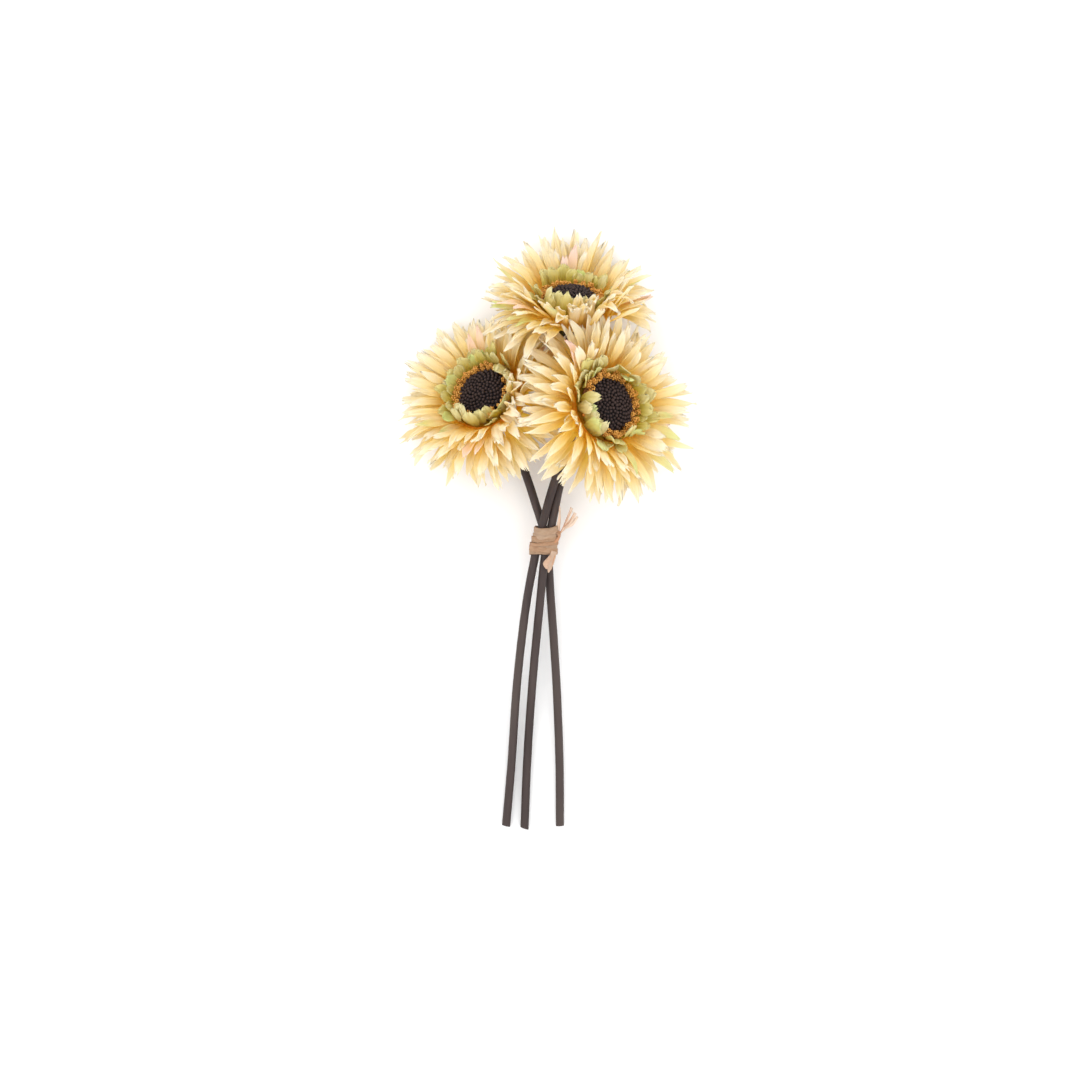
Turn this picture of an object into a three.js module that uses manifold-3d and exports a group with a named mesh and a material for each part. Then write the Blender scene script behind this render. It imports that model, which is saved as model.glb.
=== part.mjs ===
// A tied bunch of three fabric sunflowers, lying on a flat surface.
// Millimetres, +Z up, +Y from the cut stem ends to the flower heads.
import * as THREE from "three";
import { mergeVertices } from "three/addons/utils/BufferGeometryUtils.js";
import Module from "manifold-3d";

const wasm = await Module();
wasm.setup();

// Stems
const STEM_RADIUS = 2.6;
const STEM_SIDES = 8;
const STEM_STEPS = 32;
const GAP = 0.3;

// Flower head, for a head of size 1
const DISC_RADIUS = 15.9;
const DISC_HEIGHT = 5.6;
const DISC_EDGE = 1.6;
const DISC_SHOULDERS = [[0.86, 3.8], [0.52, 5]];
const DISC_SEGMENTS = 20;
const STAMEN_INNER = 16.3;
const STAMEN_OUTER = 19.6;
const STAMEN_HEIGHT = 4.2;
const STAMEN_SHOULDER = 2.6;
const STAMEN_NOTCH = 0.8;
const STAMEN_SEGMENTS = 24;
const POST_RADIUS = 7.6;
const LAYER_HOLE = 8;
const LAYER_PITCH = 1.15;
const LAYER_THICKNESS = 0.8;
const LAYER_SEGMENTS = 18;
const INNER_RIM = 20.9;
const RIM_STEP = 1.0;
const BLADE_ROOT = 0.75;
const BLADE_RIDGE = 0.7;
const BLADE_STATIONS = 3;
const ROOT_SHARE = 0.42;
const BLADE_FULLNESS = 1.2;
const BLADE_LENGTH_SHARE = 1.3;
const CREST_LENGTH_SHARE = 1.1;
const LIFT_STEP = 4;
const STEEPEST = 125;
const FOLDED = {
  green_layer_1: { rise: 66, droop: -50 },
  green_layer_2: { rise: 70, droop: -85 },
};

// Calyx: a moulded cup with a socket for the stem
const SOCKET_RADIUS = 3.1;
const SOCKET_END = -13;
const CALYX_END = -19;
const CALYX_TOP = -8.4;
const CALYX_RADIUS = 11.5;
const CALYX_SEGMENTS = 14;
const SEPALS = 7;
const SEPAL_LENGTH = 11;
const SEPAL_WIDTH = 8;
const SEPAL_HEIGHT = -10.2;
const SEPAL_RISE = -16;
const SEPAL_DROOP = 20;
const SEPAL_OVERLAP = 1.2;

// Tie: bands of raffia round the crossing stems
const TIE_SLOPE = 0.1;
const STRIP_THICKNESS = 0.5;
const BAND_INSIDE = 1;
const BAND_OUTSIDE = 1.9;
const OUTER_BAND_INSIDE = 2.2;
const OUTER_BAND_OUTSIDE = 2.8;
const FOLDED_TAIL_WIDTH = 4.2;
const STRAIGHT_TAIL_WIDTH = 1.6;
const FRAYED_TAIL_WIDTH = 3.4;
const TAIL_STEPS = 6;

// Die-cut layers, from the back of a head to its disc. Angles are in degrees above the
// plane of the disc: a blade leaves its rim at rise and loses droop by its tip.
const LAYERS = [
  { name: "ray_layer_1", kind: "ray", blades: 20, length: 34, width: 7.4, rise: -12, droop: 18 },
  { name: "ray_layer_2", kind: "ray", blades: 20, length: 35, width: 7.4, rise: 2, droop: 18 },
  { name: "ray_layer_3", kind: "ray", blades: 20, length: 34, width: 7.2, rise: 17, droop: 15 },
  { name: "ray_layer_4", kind: "ray", blades: 20, length: 32, width: 7.0, rise: 33, droop: 14 },
  { name: "ray_layer_5", kind: "ray", blades: 20, length: 29, width: 6.6, rise: 49, droop: 16 },
  { name: "green_layer_1", kind: "green", blades: 12, length: 14, width: 8.0, rise: 62, droop: 26 },
  { name: "green_layer_2", kind: "green", blades: 12, length: 12, width: 7.4, rise: 76, droop: 24 },
];

// Heads. toward is an azimuth in the head's plane, and spread is how far to each side of it.
// A press is a neighbour that pushes the blades facing it forward, up to a rise of its own,
// and crumples them, so that they are shorter by a share: from is the first layer it acts on.
// A reach is where the rays are longer by a share. A fold is where green blades bend inwards.
const HEADS = [
  {
    name: "right",
    centre: [40.6, 80, 54],
    axis: [0.57, 0.15, 0.81],
    size: 1,
    presses: [],
    reaches: [{ toward: -10, spread: 70, more: 0.1 }],
    folds: [{ toward: 205, spread: 36 }, { toward: 305, spread: 16 }, { toward: 62, spread: 16 }],
  },
  {
    name: "left",
    centre: [-33.5, 87.5, 36],
    axis: [-0.42, 0.42, 0.81],
    size: 0.96,
    presses: [{ toward: -25, spread: 55, rise: 62, from: 2, crumple: 0.4 }],
    reaches: [{ toward: 175, spread: 80, more: 0.14 }],
    folds: [{ toward: 240, spread: 40 }, { toward: 35, spread: 24 }],
  },
  {
    name: "top",
    centre: [19.2, 143.5, 42],
    axis: [0.05, 0.837, 0.545],
    size: 0.91,
    presses: [{ toward: -58, spread: 58, rise: 50, from: 0, crumple: 0.5 }],
    reaches: [{ toward: 90, spread: 85, more: 0.3 }],
    folds: [{ toward: 250, spread: 48 }],
  },
];

// Stem routes from the cut end to just above the tie. The rest is worked out from the head.
const STEM_ROUTES = {
  right: [
    [-20.8, -175, 2.6], [-17.4, -136, 5], [-14, -87, 9.5], [-8.2, -38, 14.8], [-3.7, -13.2, 17.5],
    [-0.9, 0, 18.4], [1.5, 9, 19.6], [6.4, 27.6, 22.6], [12.5, 46, 25.8], [19, 62, 28],
  ],
  left: [
    [12.2, -175, 2.6], [11.9, -136, 4.2], [10, -87, 7.5], [6.7, -38, 10.8], [3.6, 0, 12.8],
    [-3, 22.8, 13.6], [-9, 41, 13.8], [-17, 62, 13],
  ],
  top: [
    [-9.5, -176.5, 2.6], [-7.9, -136, 5], [-4.6, -87, 9.5], [0, -38, 14.8], [3, -10.2, 17.9],
    [5.1, 0, 18.4], [7, 9, 18.4], [10.8, 27.6, 18.5], [12.8, 38, 18.6], [14.5, 62, 18.8], [16, 88, 19.6],
  ],
};

const finish = (color, roughness) => new THREE.MeshStandardMaterial({ color, roughness, metalness: 0 });
const MATERIALS = {
  ray: finish(0xeccf9a, 0.85),
  green: finish(0xb2964b, 0.85),
  stamen: finish(0xb88f48, 0.6),
  disc: finish(0x2f2422, 0.7),
  calyx: finish(0x4d4a33, 0.7),
  stem: finish(0x564947, 0.65),
  raffia: finish(0xb69578, 0.75),
};

const vector = (point) => new THREE.Vector3(...point);
const radians = THREE.MathUtils.degToRad;

// A fixed, repeatable number from 0 to 1 for each pair of seeds.
function chance(first, second) {
  const wave = Math.sin(first * 12.9898 + second * 78.233) * 43758.5453;
  return wave - Math.floor(wave);
}

function solidOf(geometry) {
  const bare = geometry.clone();
  bare.deleteAttribute("normal");
  bare.deleteAttribute("uv");
  const merged = mergeVertices(bare, 1e-4);
  const vertProperties = new Float32Array(merged.attributes.position.array);
  const triVerts = new Uint32Array(merged.index.array);
  return new wasm.Manifold(new wasm.Mesh({ numProp: 3, vertProperties, triVerts }));
}

function geometryOf(solid) {
  const mesh = solid.getMesh();
  const geometry = new THREE.BufferGeometry();
  geometry.setAttribute("position", new THREE.BufferAttribute(mesh.vertProperties, 3));
  geometry.setIndex(new THREE.BufferAttribute(mesh.triVerts, 1));
  geometry.computeVertexNormals();
  return geometry;
}

function lathe(points, segments) {
  const profile = points.map(([radius, height]) => new THREE.Vector2(radius, height));
  return new THREE.LatheGeometry(profile, segments).rotateX(Math.PI / 2);
}

// A blade is a three-sided cone, widened into a leaf shape and bent along an arc that
// starts at radius rim and the given height. margin makes it fatter, to test its clearance.
function bladeGeometry(blade, margin) {
  const geometry = new THREE.ConeGeometry(1, 1, 3, BLADE_STATIONS);
  geometry.deleteAttribute("normal");
  geometry.deleteAttribute("uv");
  const rise = radians(blade.rise);
  const bend = -radians(blade.droop) / blade.length;
  const standOff = ROOT_SHARE * BLADE_RIDGE * Math.max(Math.sin(rise), 0);
  const places = geometry.attributes.position;
  for (let i = 0; i < places.count; i++) {
    const along = places.getY(i) + 0.5;
    const taper = Math.max(1 - along, 1e-6);
    const side = along > 0.999 ? 0 : -places.getX(i) / (taper * Math.sin(Math.PI / 3));
    const crest = along > 0.999 ? 0 : places.getZ(i) / taper;
    const fullness = ROOT_SHARE + BLADE_FULLNESS * along * (BLADE_LENGTH_SHARE - along);
    const across = side * (blade.width * fullness / 2 + margin);
    const up = crest * (BLADE_RIDGE * (ROOT_SHARE + along * (CREST_LENGTH_SHARE - along)) + margin);
    const angle = rise + bend * along * blade.length;
    const out = (Math.sin(angle) - Math.sin(rise)) / bend;
    const lift = (Math.cos(rise) - Math.cos(angle)) / bend;
    const radius = blade.rim - BLADE_ROOT + standOff + out - up * Math.sin(angle);
    const height = blade.height + lift + up * Math.cos(angle);
    const azimuth = radians(blade.azimuth + blade.sway * along);
    const x = radius * Math.cos(azimuth) - across * Math.sin(azimuth);
    const y = radius * Math.sin(azimuth) + across * Math.cos(azimuth);
    places.setXYZ(i, x, y, height);
  }
  return geometry;
}

function washerGeometry(hole, rim, bottom) {
  const top = bottom + LAYER_THICKNESS;
  return lathe([[hole, bottom], [rim, bottom], [rim, top], [hole, top], [hole, bottom]], LAYER_SEGMENTS);
}

// How much an azimuth feels something that acts toward one side: 1 in its middle, 0 outside.
function shareOf(act, azimuth) {
  const away = Math.abs(THREE.MathUtils.euclideanModulo(azimuth - act.toward + 180, 360) - 180);
  return away < act.spread ? Math.cos(radians(90 * away / act.spread)) : 0;
}

// How one layer's blades lie at an azimuth, once its neighbours have pressed them.
function layOf(head, level, azimuth) {
  const layer = LAYERS[level];
  const lay = { rise: layer.rise, droop: layer.droop, stretch: 1 };
  if (layer.kind === "green") {
    if (head.folds.some((fold) => shareOf(fold, azimuth) > 0)) {
      Object.assign(lay, FOLDED[layer.name]);
    }
    return lay;
  }
  for (const reach of head.reaches) {
    lay.stretch += reach.more * shareOf(reach, azimuth);
  }
  for (const press of head.presses) {
    const share = shareOf(press, azimuth);
    if (level >= press.from && lay.rise < press.rise) {
      lay.rise += (press.rise + 3 * level - lay.rise) * share;
      lay.stretch -= press.crumple * share * level / LAYERS.length;
    }
  }
  return lay;
}

function describeBlade(head, level, index) {
  const layer = LAYERS[level];
  const seed = HEADS.indexOf(head) * 10 + level;
  const step = 360 / layer.blades;
  const azimuth = (index + 0.5 * (level % 2) + 0.3 * (chance(seed, index) - 0.5)) * step;
  const lay = layOf(head, level, azimuth);
  const length = layer.length * head.size * (0.9 + 0.2 * chance(seed, index + 50));
  const lean = 5 * (chance(seed, index + 100) - 0.5);
  return {
    azimuth,
    length: length * lay.stretch,
    width: layer.width * head.size,
    rim: rimOf(head, level),
    height: bottomOf(level) + LAYER_THICKNESS / 2,
    rise: lay.rise + lean,
    droop: lay.droop,
    sway: 6 * (chance(seed, index + 150) - 0.5),
  };
}

const rimOf = (head, level) => (INNER_RIM + RIM_STEP * (LAYERS.length - 1 - level)) * head.size;
const bottomOf = (level) => -LAYER_PITCH * (LAYERS.length - level);

// Solids already placed, in the bunch's own frame. keeper is the head and layer whose
// blades may touch the solid, because they are one piece with it.
const placed = [];

function place(geometry, matrix, keeper) {
  const here = geometry.clone().applyMatrix4(matrix);
  here.computeBoundingBox();
  placed.push({ box: here.boundingBox, solid: solidOf(here), keeper });
}

function isClear(geometry, matrix, keeper) {
  const here = geometry.clone().applyMatrix4(matrix);
  here.computeBoundingBox();
  if (here.boundingBox.min.z < 0) {
    return false;
  }
  const solid = solidOf(here);
  const strangers = placed.filter((other) => other.keeper !== keeper);
  const near = strangers.filter((other) => other.box.intersectsBox(here.boundingBox));
  return near.every((other) => solid.intersect(other.solid).isEmpty());
}

// The blade bends forward, and in the end shrinks, until it is clear of everything placed.
function settleBlade(head, level, index) {
  for (const shrink of [1, 0.8, 0.6, 0.45]) {
    const blade = describeBlade(head, level, index);
    blade.length *= shrink;
    for (; blade.rise < STEEPEST; blade.rise += LIFT_STEP) {
      if (isClear(bladeGeometry(blade, GAP), head.matrix, `${head.name} ${level}`)) {
        place(bladeGeometry(blade, 0), head.matrix, null);
        return bladeGeometry(blade, 0);
      }
    }
  }
  return null;
}

function layerGeometry(head, level) {
  const layer = LAYERS[level];
  let solid = solidOf(washerGeometry(LAYER_HOLE, rimOf(head, level), bottomOf(level)));
  for (let index = 0; index < layer.blades; index++) {
    const blade = settleBlade(head, level, index);
    if (blade) {
      solid = solid.add(solidOf(blade));
    }
  }
  return geometryOf(solid);
}

function seedDiscGeometry(head) {
  const radius = DISC_RADIUS * head.size;
  const shoulders = DISC_SHOULDERS.map(([share, height]) => [share * radius, height]);
  return lathe([[0, 0], [radius, 0], [radius, DISC_EDGE], ...shoulders, [0, DISC_HEIGHT]], DISC_SEGMENTS);
}

// A ring of stamens: a crown whose top is notched at every other segment.
function stamenGeometry(head) {
  const inner = STAMEN_INNER * head.size;
  const outer = STAMEN_OUTER * head.size;
  const middle = (inner + outer) / 2;
  const shoulder = STAMEN_SHOULDER;
  const crown = [[outer, shoulder], [middle, STAMEN_HEIGHT], [inner, shoulder]];
  const geometry = lathe([[inner, 0], [outer, 0], ...crown, [inner, 0]], STAMEN_SEGMENTS);
  const places = geometry.attributes.position;
  for (let i = 0; i < places.count; i++) {
    const azimuth = Math.atan2(places.getY(i), places.getX(i));
    const notch = Math.round(azimuth * STAMEN_SEGMENTS / (2 * Math.PI)) % 2 === 0 ? 0 : STAMEN_NOTCH;
    if (places.getZ(i) > STAMEN_NOTCH) {
      places.setZ(i, places.getZ(i) - notch);
    }
  }
  return geometry;
}

// The cup under a head: a socket below, a post above for the layers, and pointed sepals.
function calyxGeometry() {
  const profile = [
    [0, SOCKET_END], [SOCKET_RADIUS, SOCKET_END], [SOCKET_RADIUS, CALYX_END], [4.3, CALYX_END],
    [6.4, -16], [10.6, -11.4], [CALYX_RADIUS, CALYX_TOP], [POST_RADIUS, CALYX_TOP],
    [POST_RADIUS, -GAP], [0, -GAP],
  ];
  let solid = solidOf(lathe(profile, CALYX_SEGMENTS));
  for (let index = 0; index < SEPALS; index++) {
    const sepal = {
      azimuth: index * 360 / SEPALS,
      length: SEPAL_LENGTH + 2 * chance(SEPALS, index),
      width: SEPAL_WIDTH,
      rim: CALYX_RADIUS - SEPAL_OVERLAP,
      height: SEPAL_HEIGHT,
      rise: SEPAL_RISE,
      droop: SEPAL_DROOP,
      sway: 0,
    };
    solid = solid.add(solidOf(bladeGeometry(sepal, 0)));
  }
  return geometryOf(solid);
}

function headFrame(head) {
  const up = vector(head.axis).normalize();
  const across = new THREE.Vector3(1, 0, 0).addScaledVector(up, -up.x).normalize();
  const along = new THREE.Vector3().crossVectors(up, across);
  const matrix = new THREE.Matrix4().makeBasis(across, along, up);
  return matrix.setPosition(vector(head.centre));
}

function stemCurve(head) {
  const up = vector(head.axis).normalize();
  const centre = vector(head.centre);
  const onAxis = (height) => centre.clone().addScaledVector(up, height);
  const points = STEM_ROUTES[head.name].map(vector);
  points.push(onAxis(CALYX_END - 6), onAxis(CALYX_END + 1), onAxis(SOCKET_END - GAP));
  return new THREE.CatmullRomCurve3(points, false, "centripetal");
}

function stemGeometry(head) {
  const section = new THREE.Shape();
  for (let side = 0; side < STEM_SIDES; side++) {
    const angle = 2 * Math.PI * side / STEM_SIDES;
    const corner = [STEM_RADIUS * Math.cos(angle), STEM_RADIUS * Math.sin(angle)];
    if (side === 0) {
      section.moveTo(...corner);
    } else {
      section.lineTo(...corner);
    }
  }
  const options = { steps: STEM_STEPS, bevelEnabled: false, extrudePath: stemCurve(head) };
  return new THREE.ExtrudeGeometry(section, options);
}

// Where the middle of a stem is at a distance along the bunch.
function stemAt(name, y) {
  const curve = stemCurve(HEADS.find((head) => head.name === name));
  let low = 0;
  let high = 1;
  for (let i = 0; i < 30; i++) {
    const middle = (low + high) / 2;
    if (curve.getPoint(middle).y < y) {
      low = middle;
    } else {
      high = middle;
    }
  }
  return curve.getPoint(low);
}

// The outline of a cord pulled round the three stems, each grown by offset.
function roundStems(path, y, offset) {
  const centres = ["left", "top", "right"].map((name) => stemAt(name, y));
  const turn = (from, to) => Math.atan2(to.z - from.z, to.x - from.x) - Math.PI / 2;
  centres.forEach((centre, i) => {
    const before = centres[(i + 2) % 3];
    const after = centres[(i + 1) % 3];
    path.absarc(centre.x, centre.z, STEM_RADIUS + offset, turn(before, centre), turn(centre, after), false);
  });
  return path;
}

function bandGeometry({ from, to, inside, outside }) {
  const middle = (from + to) / 2;
  const section = roundStems(new THREE.Shape(), middle, outside);
  section.holes.push(roundStems(new THREE.Path(), middle, inside));
  const options = { depth: to - from, bevelEnabled: false, curveSegments: 3 };
  const geometry = new THREE.ExtrudeGeometry(section, options);
  geometry.rotateX(Math.PI / 2).translate(0, (to - from) / 2, 0);
  geometry.applyMatrix4(new THREE.Matrix4().makeShear(0, 0, TIE_SLOPE, 0, 0, 0));
  return geometry.translate(0, middle, 0);
}

// A flat strip of raffia along a route.
function stripGeometry(points, width) {
  const section = new THREE.Shape();
  section.moveTo(-STRIP_THICKNESS / 2, -width / 2);
  section.lineTo(STRIP_THICKNESS / 2, -width / 2);
  section.lineTo(STRIP_THICKNESS / 2, width / 2);
  section.lineTo(-STRIP_THICKNESS / 2, width / 2);
  const extrudePath = new THREE.CatmullRomCurve3(points.map(vector), false, "centripetal");
  return new THREE.ExtrudeGeometry(section, { steps: TAIL_STEPS, bevelEnabled: false, extrudePath });
}

function tieMeshes() {
  const knot = new THREE.IcosahedronGeometry(1, 2).scale(1.9, 3.4, 2.6).translate(13, 3.2, 19.5);
  const folded = [[7.6, -9.6, 23], [4.2, -12.5, 23.6], [4.6, -16, 22.8], [5.2, -20, 21]];
  const straight = [[12.6, 7.2, 19.6], [12.2, 12, 20.6], [12, 19.5, 22]];
  const frayed = [[15.6, 5.2, 20.4], [17.4, 9, 21.2], [20.5, 16.5, 22.4]];
  const inner = { inside: BAND_INSIDE, outside: BAND_OUTSIDE };
  const outer = { inside: OUTER_BAND_INSIDE, outside: OUTER_BAND_OUTSIDE };
  const pieces = {
    tie_band_low: bandGeometry({ from: -9, to: -4, ...inner }),
    tie_band_middle: bandGeometry({ from: -3.6, to: 1.8, ...inner }),
    tie_band_high: bandGeometry({ from: 2.2, to: 7.8, ...inner }),
    tie_band_outer: bandGeometry({ from: -3.1, to: 1.3, ...outer }),
    tie_knot: knot,
    tie_tail_folded: stripGeometry(folded, FOLDED_TAIL_WIDTH),
    tie_tail_straight: stripGeometry(straight, STRAIGHT_TAIL_WIDTH),
    tie_tail_frayed: stripGeometry(frayed, FRAYED_TAIL_WIDTH),
  };
  return Object.entries(pieces).map(([name, geometry]) => named(name, geometry, MATERIALS.raffia));
}

function named(name, geometry, material) {
  const mesh = new THREE.Mesh(geometry, material);
  mesh.name = name;
  return mesh;
}

function buildHead(head) {
  const group = new THREE.Group();
  group.applyMatrix4(head.matrix);
  group.add(named(`calyx_${head.name}`, calyxGeometry(), MATERIALS.calyx));
  group.add(named(`seed_disc_${head.name}`, seedDiscGeometry(head), MATERIALS.disc));
  group.add(named(`stamen_ring_${head.name}`, stamenGeometry(head), MATERIALS.stamen));
  LAYERS.forEach((layer, level) => {
    group.add(named(`${layer.name}_${head.name}`, layerGeometry(head, level), MATERIALS[layer.kind]));
  });
  return group;
}

const identity = new THREE.Matrix4();
for (const head of HEADS) {
  head.matrix = headFrame(head);
  place(stemGeometry(head), identity, null);
  place(calyxGeometry(), head.matrix, null);
  LAYERS.forEach((layer, level) => {
    const washer = washerGeometry(LAYER_HOLE, rimOf(head, level), bottomOf(level));
    place(washer, head.matrix, `${head.name} ${level}`);
  });
  place(stamenGeometry(head), head.matrix, null);
  place(seedDiscGeometry(head), head.matrix, null);
}

const bunch = new THREE.Group();
for (const head of HEADS) {
  bunch.add(named(`stem_${head.name}`, stemGeometry(head), MATERIALS.stem));
  bunch.add(buildHead(head));
}
bunch.add(...tieMeshes());

// The origin is the middle of the bottom of the box round the whole bunch.
bunch.updateMatrixWorld(true);
const bounds = new THREE.Box3().setFromObject(bunch, true);
const middle = bounds.getCenter(new THREE.Vector3());
bunch.position.set(-middle.x, -middle.y, -bounds.min.z);

export default bunch;
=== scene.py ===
"""A tied bunch of three fabric sunflowers, lying on a pale surface.

Lengths are millimetres in the bunch's own drawing frame until a mesh is finished,
which is then put into the part's frame in metres.
"""

import math

import bpy
import numpy as np
from mathutils import Matrix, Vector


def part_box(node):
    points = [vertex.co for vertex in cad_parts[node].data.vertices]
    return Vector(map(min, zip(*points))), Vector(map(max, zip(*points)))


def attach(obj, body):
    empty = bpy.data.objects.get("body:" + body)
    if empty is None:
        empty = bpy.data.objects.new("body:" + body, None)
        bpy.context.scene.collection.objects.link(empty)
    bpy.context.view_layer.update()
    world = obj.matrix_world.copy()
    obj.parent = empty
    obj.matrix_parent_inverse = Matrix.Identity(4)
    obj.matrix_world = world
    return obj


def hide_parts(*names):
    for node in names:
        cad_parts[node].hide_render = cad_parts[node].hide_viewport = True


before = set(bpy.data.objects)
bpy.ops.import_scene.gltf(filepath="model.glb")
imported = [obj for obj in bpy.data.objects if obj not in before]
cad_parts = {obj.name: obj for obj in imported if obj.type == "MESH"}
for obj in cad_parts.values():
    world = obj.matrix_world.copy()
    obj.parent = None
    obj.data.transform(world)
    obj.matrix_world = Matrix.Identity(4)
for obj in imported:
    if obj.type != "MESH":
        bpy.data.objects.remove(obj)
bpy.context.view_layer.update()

# Measures shared with the solid model
STEM_RADIUS = 2.6
DISC_RADIUS = 15.9
DISC_EDGE = 1.6
DISC_RISE = 4.0
SEED_SPACING = 1.24
STAMEN_CIRCLE = 17.9
LAYER_HOLE = 8.0
LAYER_PITCH = 1.15
LAYER_THICKNESS = 0.8
INNER_RIM = 20.9
RIM_STEP = 1.0
BLADE_ROOT = 0.75
BLADE_RIDGE = 0.7
BLADE_STAND_OFF = 0.42 * BLADE_RIDGE
LIFT_STEP = 4.0
SHRINKS = (1, 0.8, 0.6, 0.45)
STEEPEST = 125.0
SOCKET_RADIUS = 3.1
SOCKET_END = -13.0
CALYX_END = -19.0
CALYX_TOP = -8.4
CALYX_RADIUS = 11.5
POST_RADIUS = 7.6
SEPALS = 7
SEPAL_THICKNESS = 0.7
GAP = 0.3
KNOT_CENTRE = (13.0, 3.2, 19.5)
GOLDEN_ANGLE = 2.399963

# How near a blade's tip and a corner of its solid are when they are the same, and the lowest that
# cloth may lie
SAME_TIP = 0.02
LOWEST_CLOTH = 0.15

# Layers from the back of a head to its disc. A blade leaves its rim at rise degrees above
# the plane of the disc and loses droop by its tip.
LAYERS = [dict(zip(("name", "kind", "blades", "length", "width", "rise", "droop"), row)) for row in (
    ("ray_layer_1", "ray", 20, 34, 7.4, -12, 18),
    ("ray_layer_2", "ray", 20, 35, 7.4, 2, 18),
    ("ray_layer_3", "ray", 20, 34, 7.2, 17, 15),
    ("ray_layer_4", "ray", 20, 32, 7.0, 33, 14),
    ("ray_layer_5", "ray", 20, 29, 6.6, 49, 16),
    ("green_layer_1", "green", 12, 14, 8.0, 62, 26),
    ("green_layer_2", "green", 12, 12, 7.4, 76, 24),
)]

# Heads. A press is a neighbour that pushes the rays facing it forward, from one layer on, shortens them
# and crumples them where its creases are. A reach is where the rays are longer, and a fold is where
# green blades bend inwards. Each acts toward an azimuth in the head's plane, and up to spread degrees to
# each side of it.
HEADS = [
    {"name": "right", "centre": (40.6, 80, 54), "axis": (0.57, 0.15, 0.81), "size": 1.0,
     "presses": [],
     "reaches": [{"toward": -10, "spread": 70, "more": 0.1}],
     "folds": [{"toward": 205, "spread": 36}, {"toward": 305, "spread": 16}, {"toward": 62, "spread": 16}]},
    {"name": "left", "centre": (-33.5, 87.5, 36), "axis": (-0.42, 0.42, 0.81), "size": 0.96,
     "presses": [{"toward": -25, "spread": 55, "rise": 62, "from": 2, "crumple": 0.4,
                  "creases": {"toward": -48, "spread": 46}}],
     "reaches": [{"toward": 175, "spread": 80, "more": 0.14}],
     "folds": [{"toward": 240, "spread": 40}, {"toward": 35, "spread": 24}]},
    {"name": "top", "centre": (19.2, 143.5, 42), "axis": (0.05, 0.837, 0.545), "size": 0.91,
     "presses": [{"toward": -58, "spread": 58, "rise": 50, "from": 0, "crumple": 0.5}],
     "reaches": [{"toward": 90, "spread": 85, "more": 0.3}],
     "folds": [{"toward": 250, "spread": 48}]},
]
# The rise and droop of green blades in a fold
FOLDED = {"green_layer_1": (66, -50), "green_layer_2": (70, -85)}

# Stem routes from the cut end to just above the tie
STEM_ROUTES = {
    "right": [(-20.8, -175, 2.6), (-17.4, -136, 5), (-14, -87, 9.5), (-8.2, -38, 14.8), (-3.7, -13.2, 17.5),
              (-0.9, 0, 18.4), (1.5, 9, 19.6), (6.4, 27.6, 22.6), (12.5, 46, 25.8), (19, 62, 28)],
    "left": [(12.2, -175, 2.6), (11.9, -136, 4.2), (10, -87, 7.5), (6.7, -38, 10.8), (3.6, 0, 12.8),
             (-3, 22.8, 13.6), (-9, 41, 13.8), (-17, 62, 13)],
    "top": [(-9.5, -176.5, 2.6), (-7.9, -136, 5), (-4.6, -87, 9.5), (0, -38, 14.8), (3, -10.2, 17.9),
            (5.1, 0, 18.4), (7, 9, 18.4), (10.8, 27.6, 18.5), (12.8, 38, 18.6), (14.5, 62, 18.8),
            (16, 88, 19.6)],
}
# How much each cut end leans, as a rise along the stem for each millimetre across it, and how far up
# the stem the lean dies out
CUT_LEAN = {"right": -0.16, "left": 0.06, "top": -0.3}
CUT_REACH = 6

knot_low, knot_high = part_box("tie_knot")
KNOT_IN_PART = np.array((knot_low + knot_high) / 2) * 1000
TO_PART = KNOT_IN_PART - np.array(KNOT_CENTRE)


# ---------------------------------------------------------------- node trees

class Wire:
    """A socket that can be used in arithmetic. Each operation adds a Math node."""

    def __init__(self, bench, socket):
        self.bench = bench
        self.socket = socket

    def maths(self, operation, *values):
        return self.bench.node("ShaderNodeMath", {"operation": operation}, values)

    def __add__(self, other):
        return self.maths("ADD", self, other)

    def __sub__(self, other):
        return self.maths("SUBTRACT", self, other)

    def __rsub__(self, other):
        return self.maths("SUBTRACT", other, self)

    def __mul__(self, other):
        return self.maths("MULTIPLY", self, other)

    def __truediv__(self, other):
        return self.maths("DIVIDE", self, other)

    def __mod__(self, other):
        return self.maths("FLOORED_MODULO", self, other)

    def __pow__(self, other):
        return self.maths("POWER", self, other)

    __radd__ = __add__
    __rmul__ = __mul__

    def sine(self):
        return self.maths("SINE", self)

    def cosine(self):
        return self.maths("COSINE", self)

    def floor(self):
        return self.maths("FLOOR", self)

    def size(self):
        return self.maths("ABSOLUTE", self)

    def clipped(self):
        return self.bench.node("ShaderNodeClamp", {}, [self, 0.0, 1.0])

    def other(self, output):
        """Another output of the same node."""
        return Wire(self.bench, self.socket.node.outputs[output])


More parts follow.
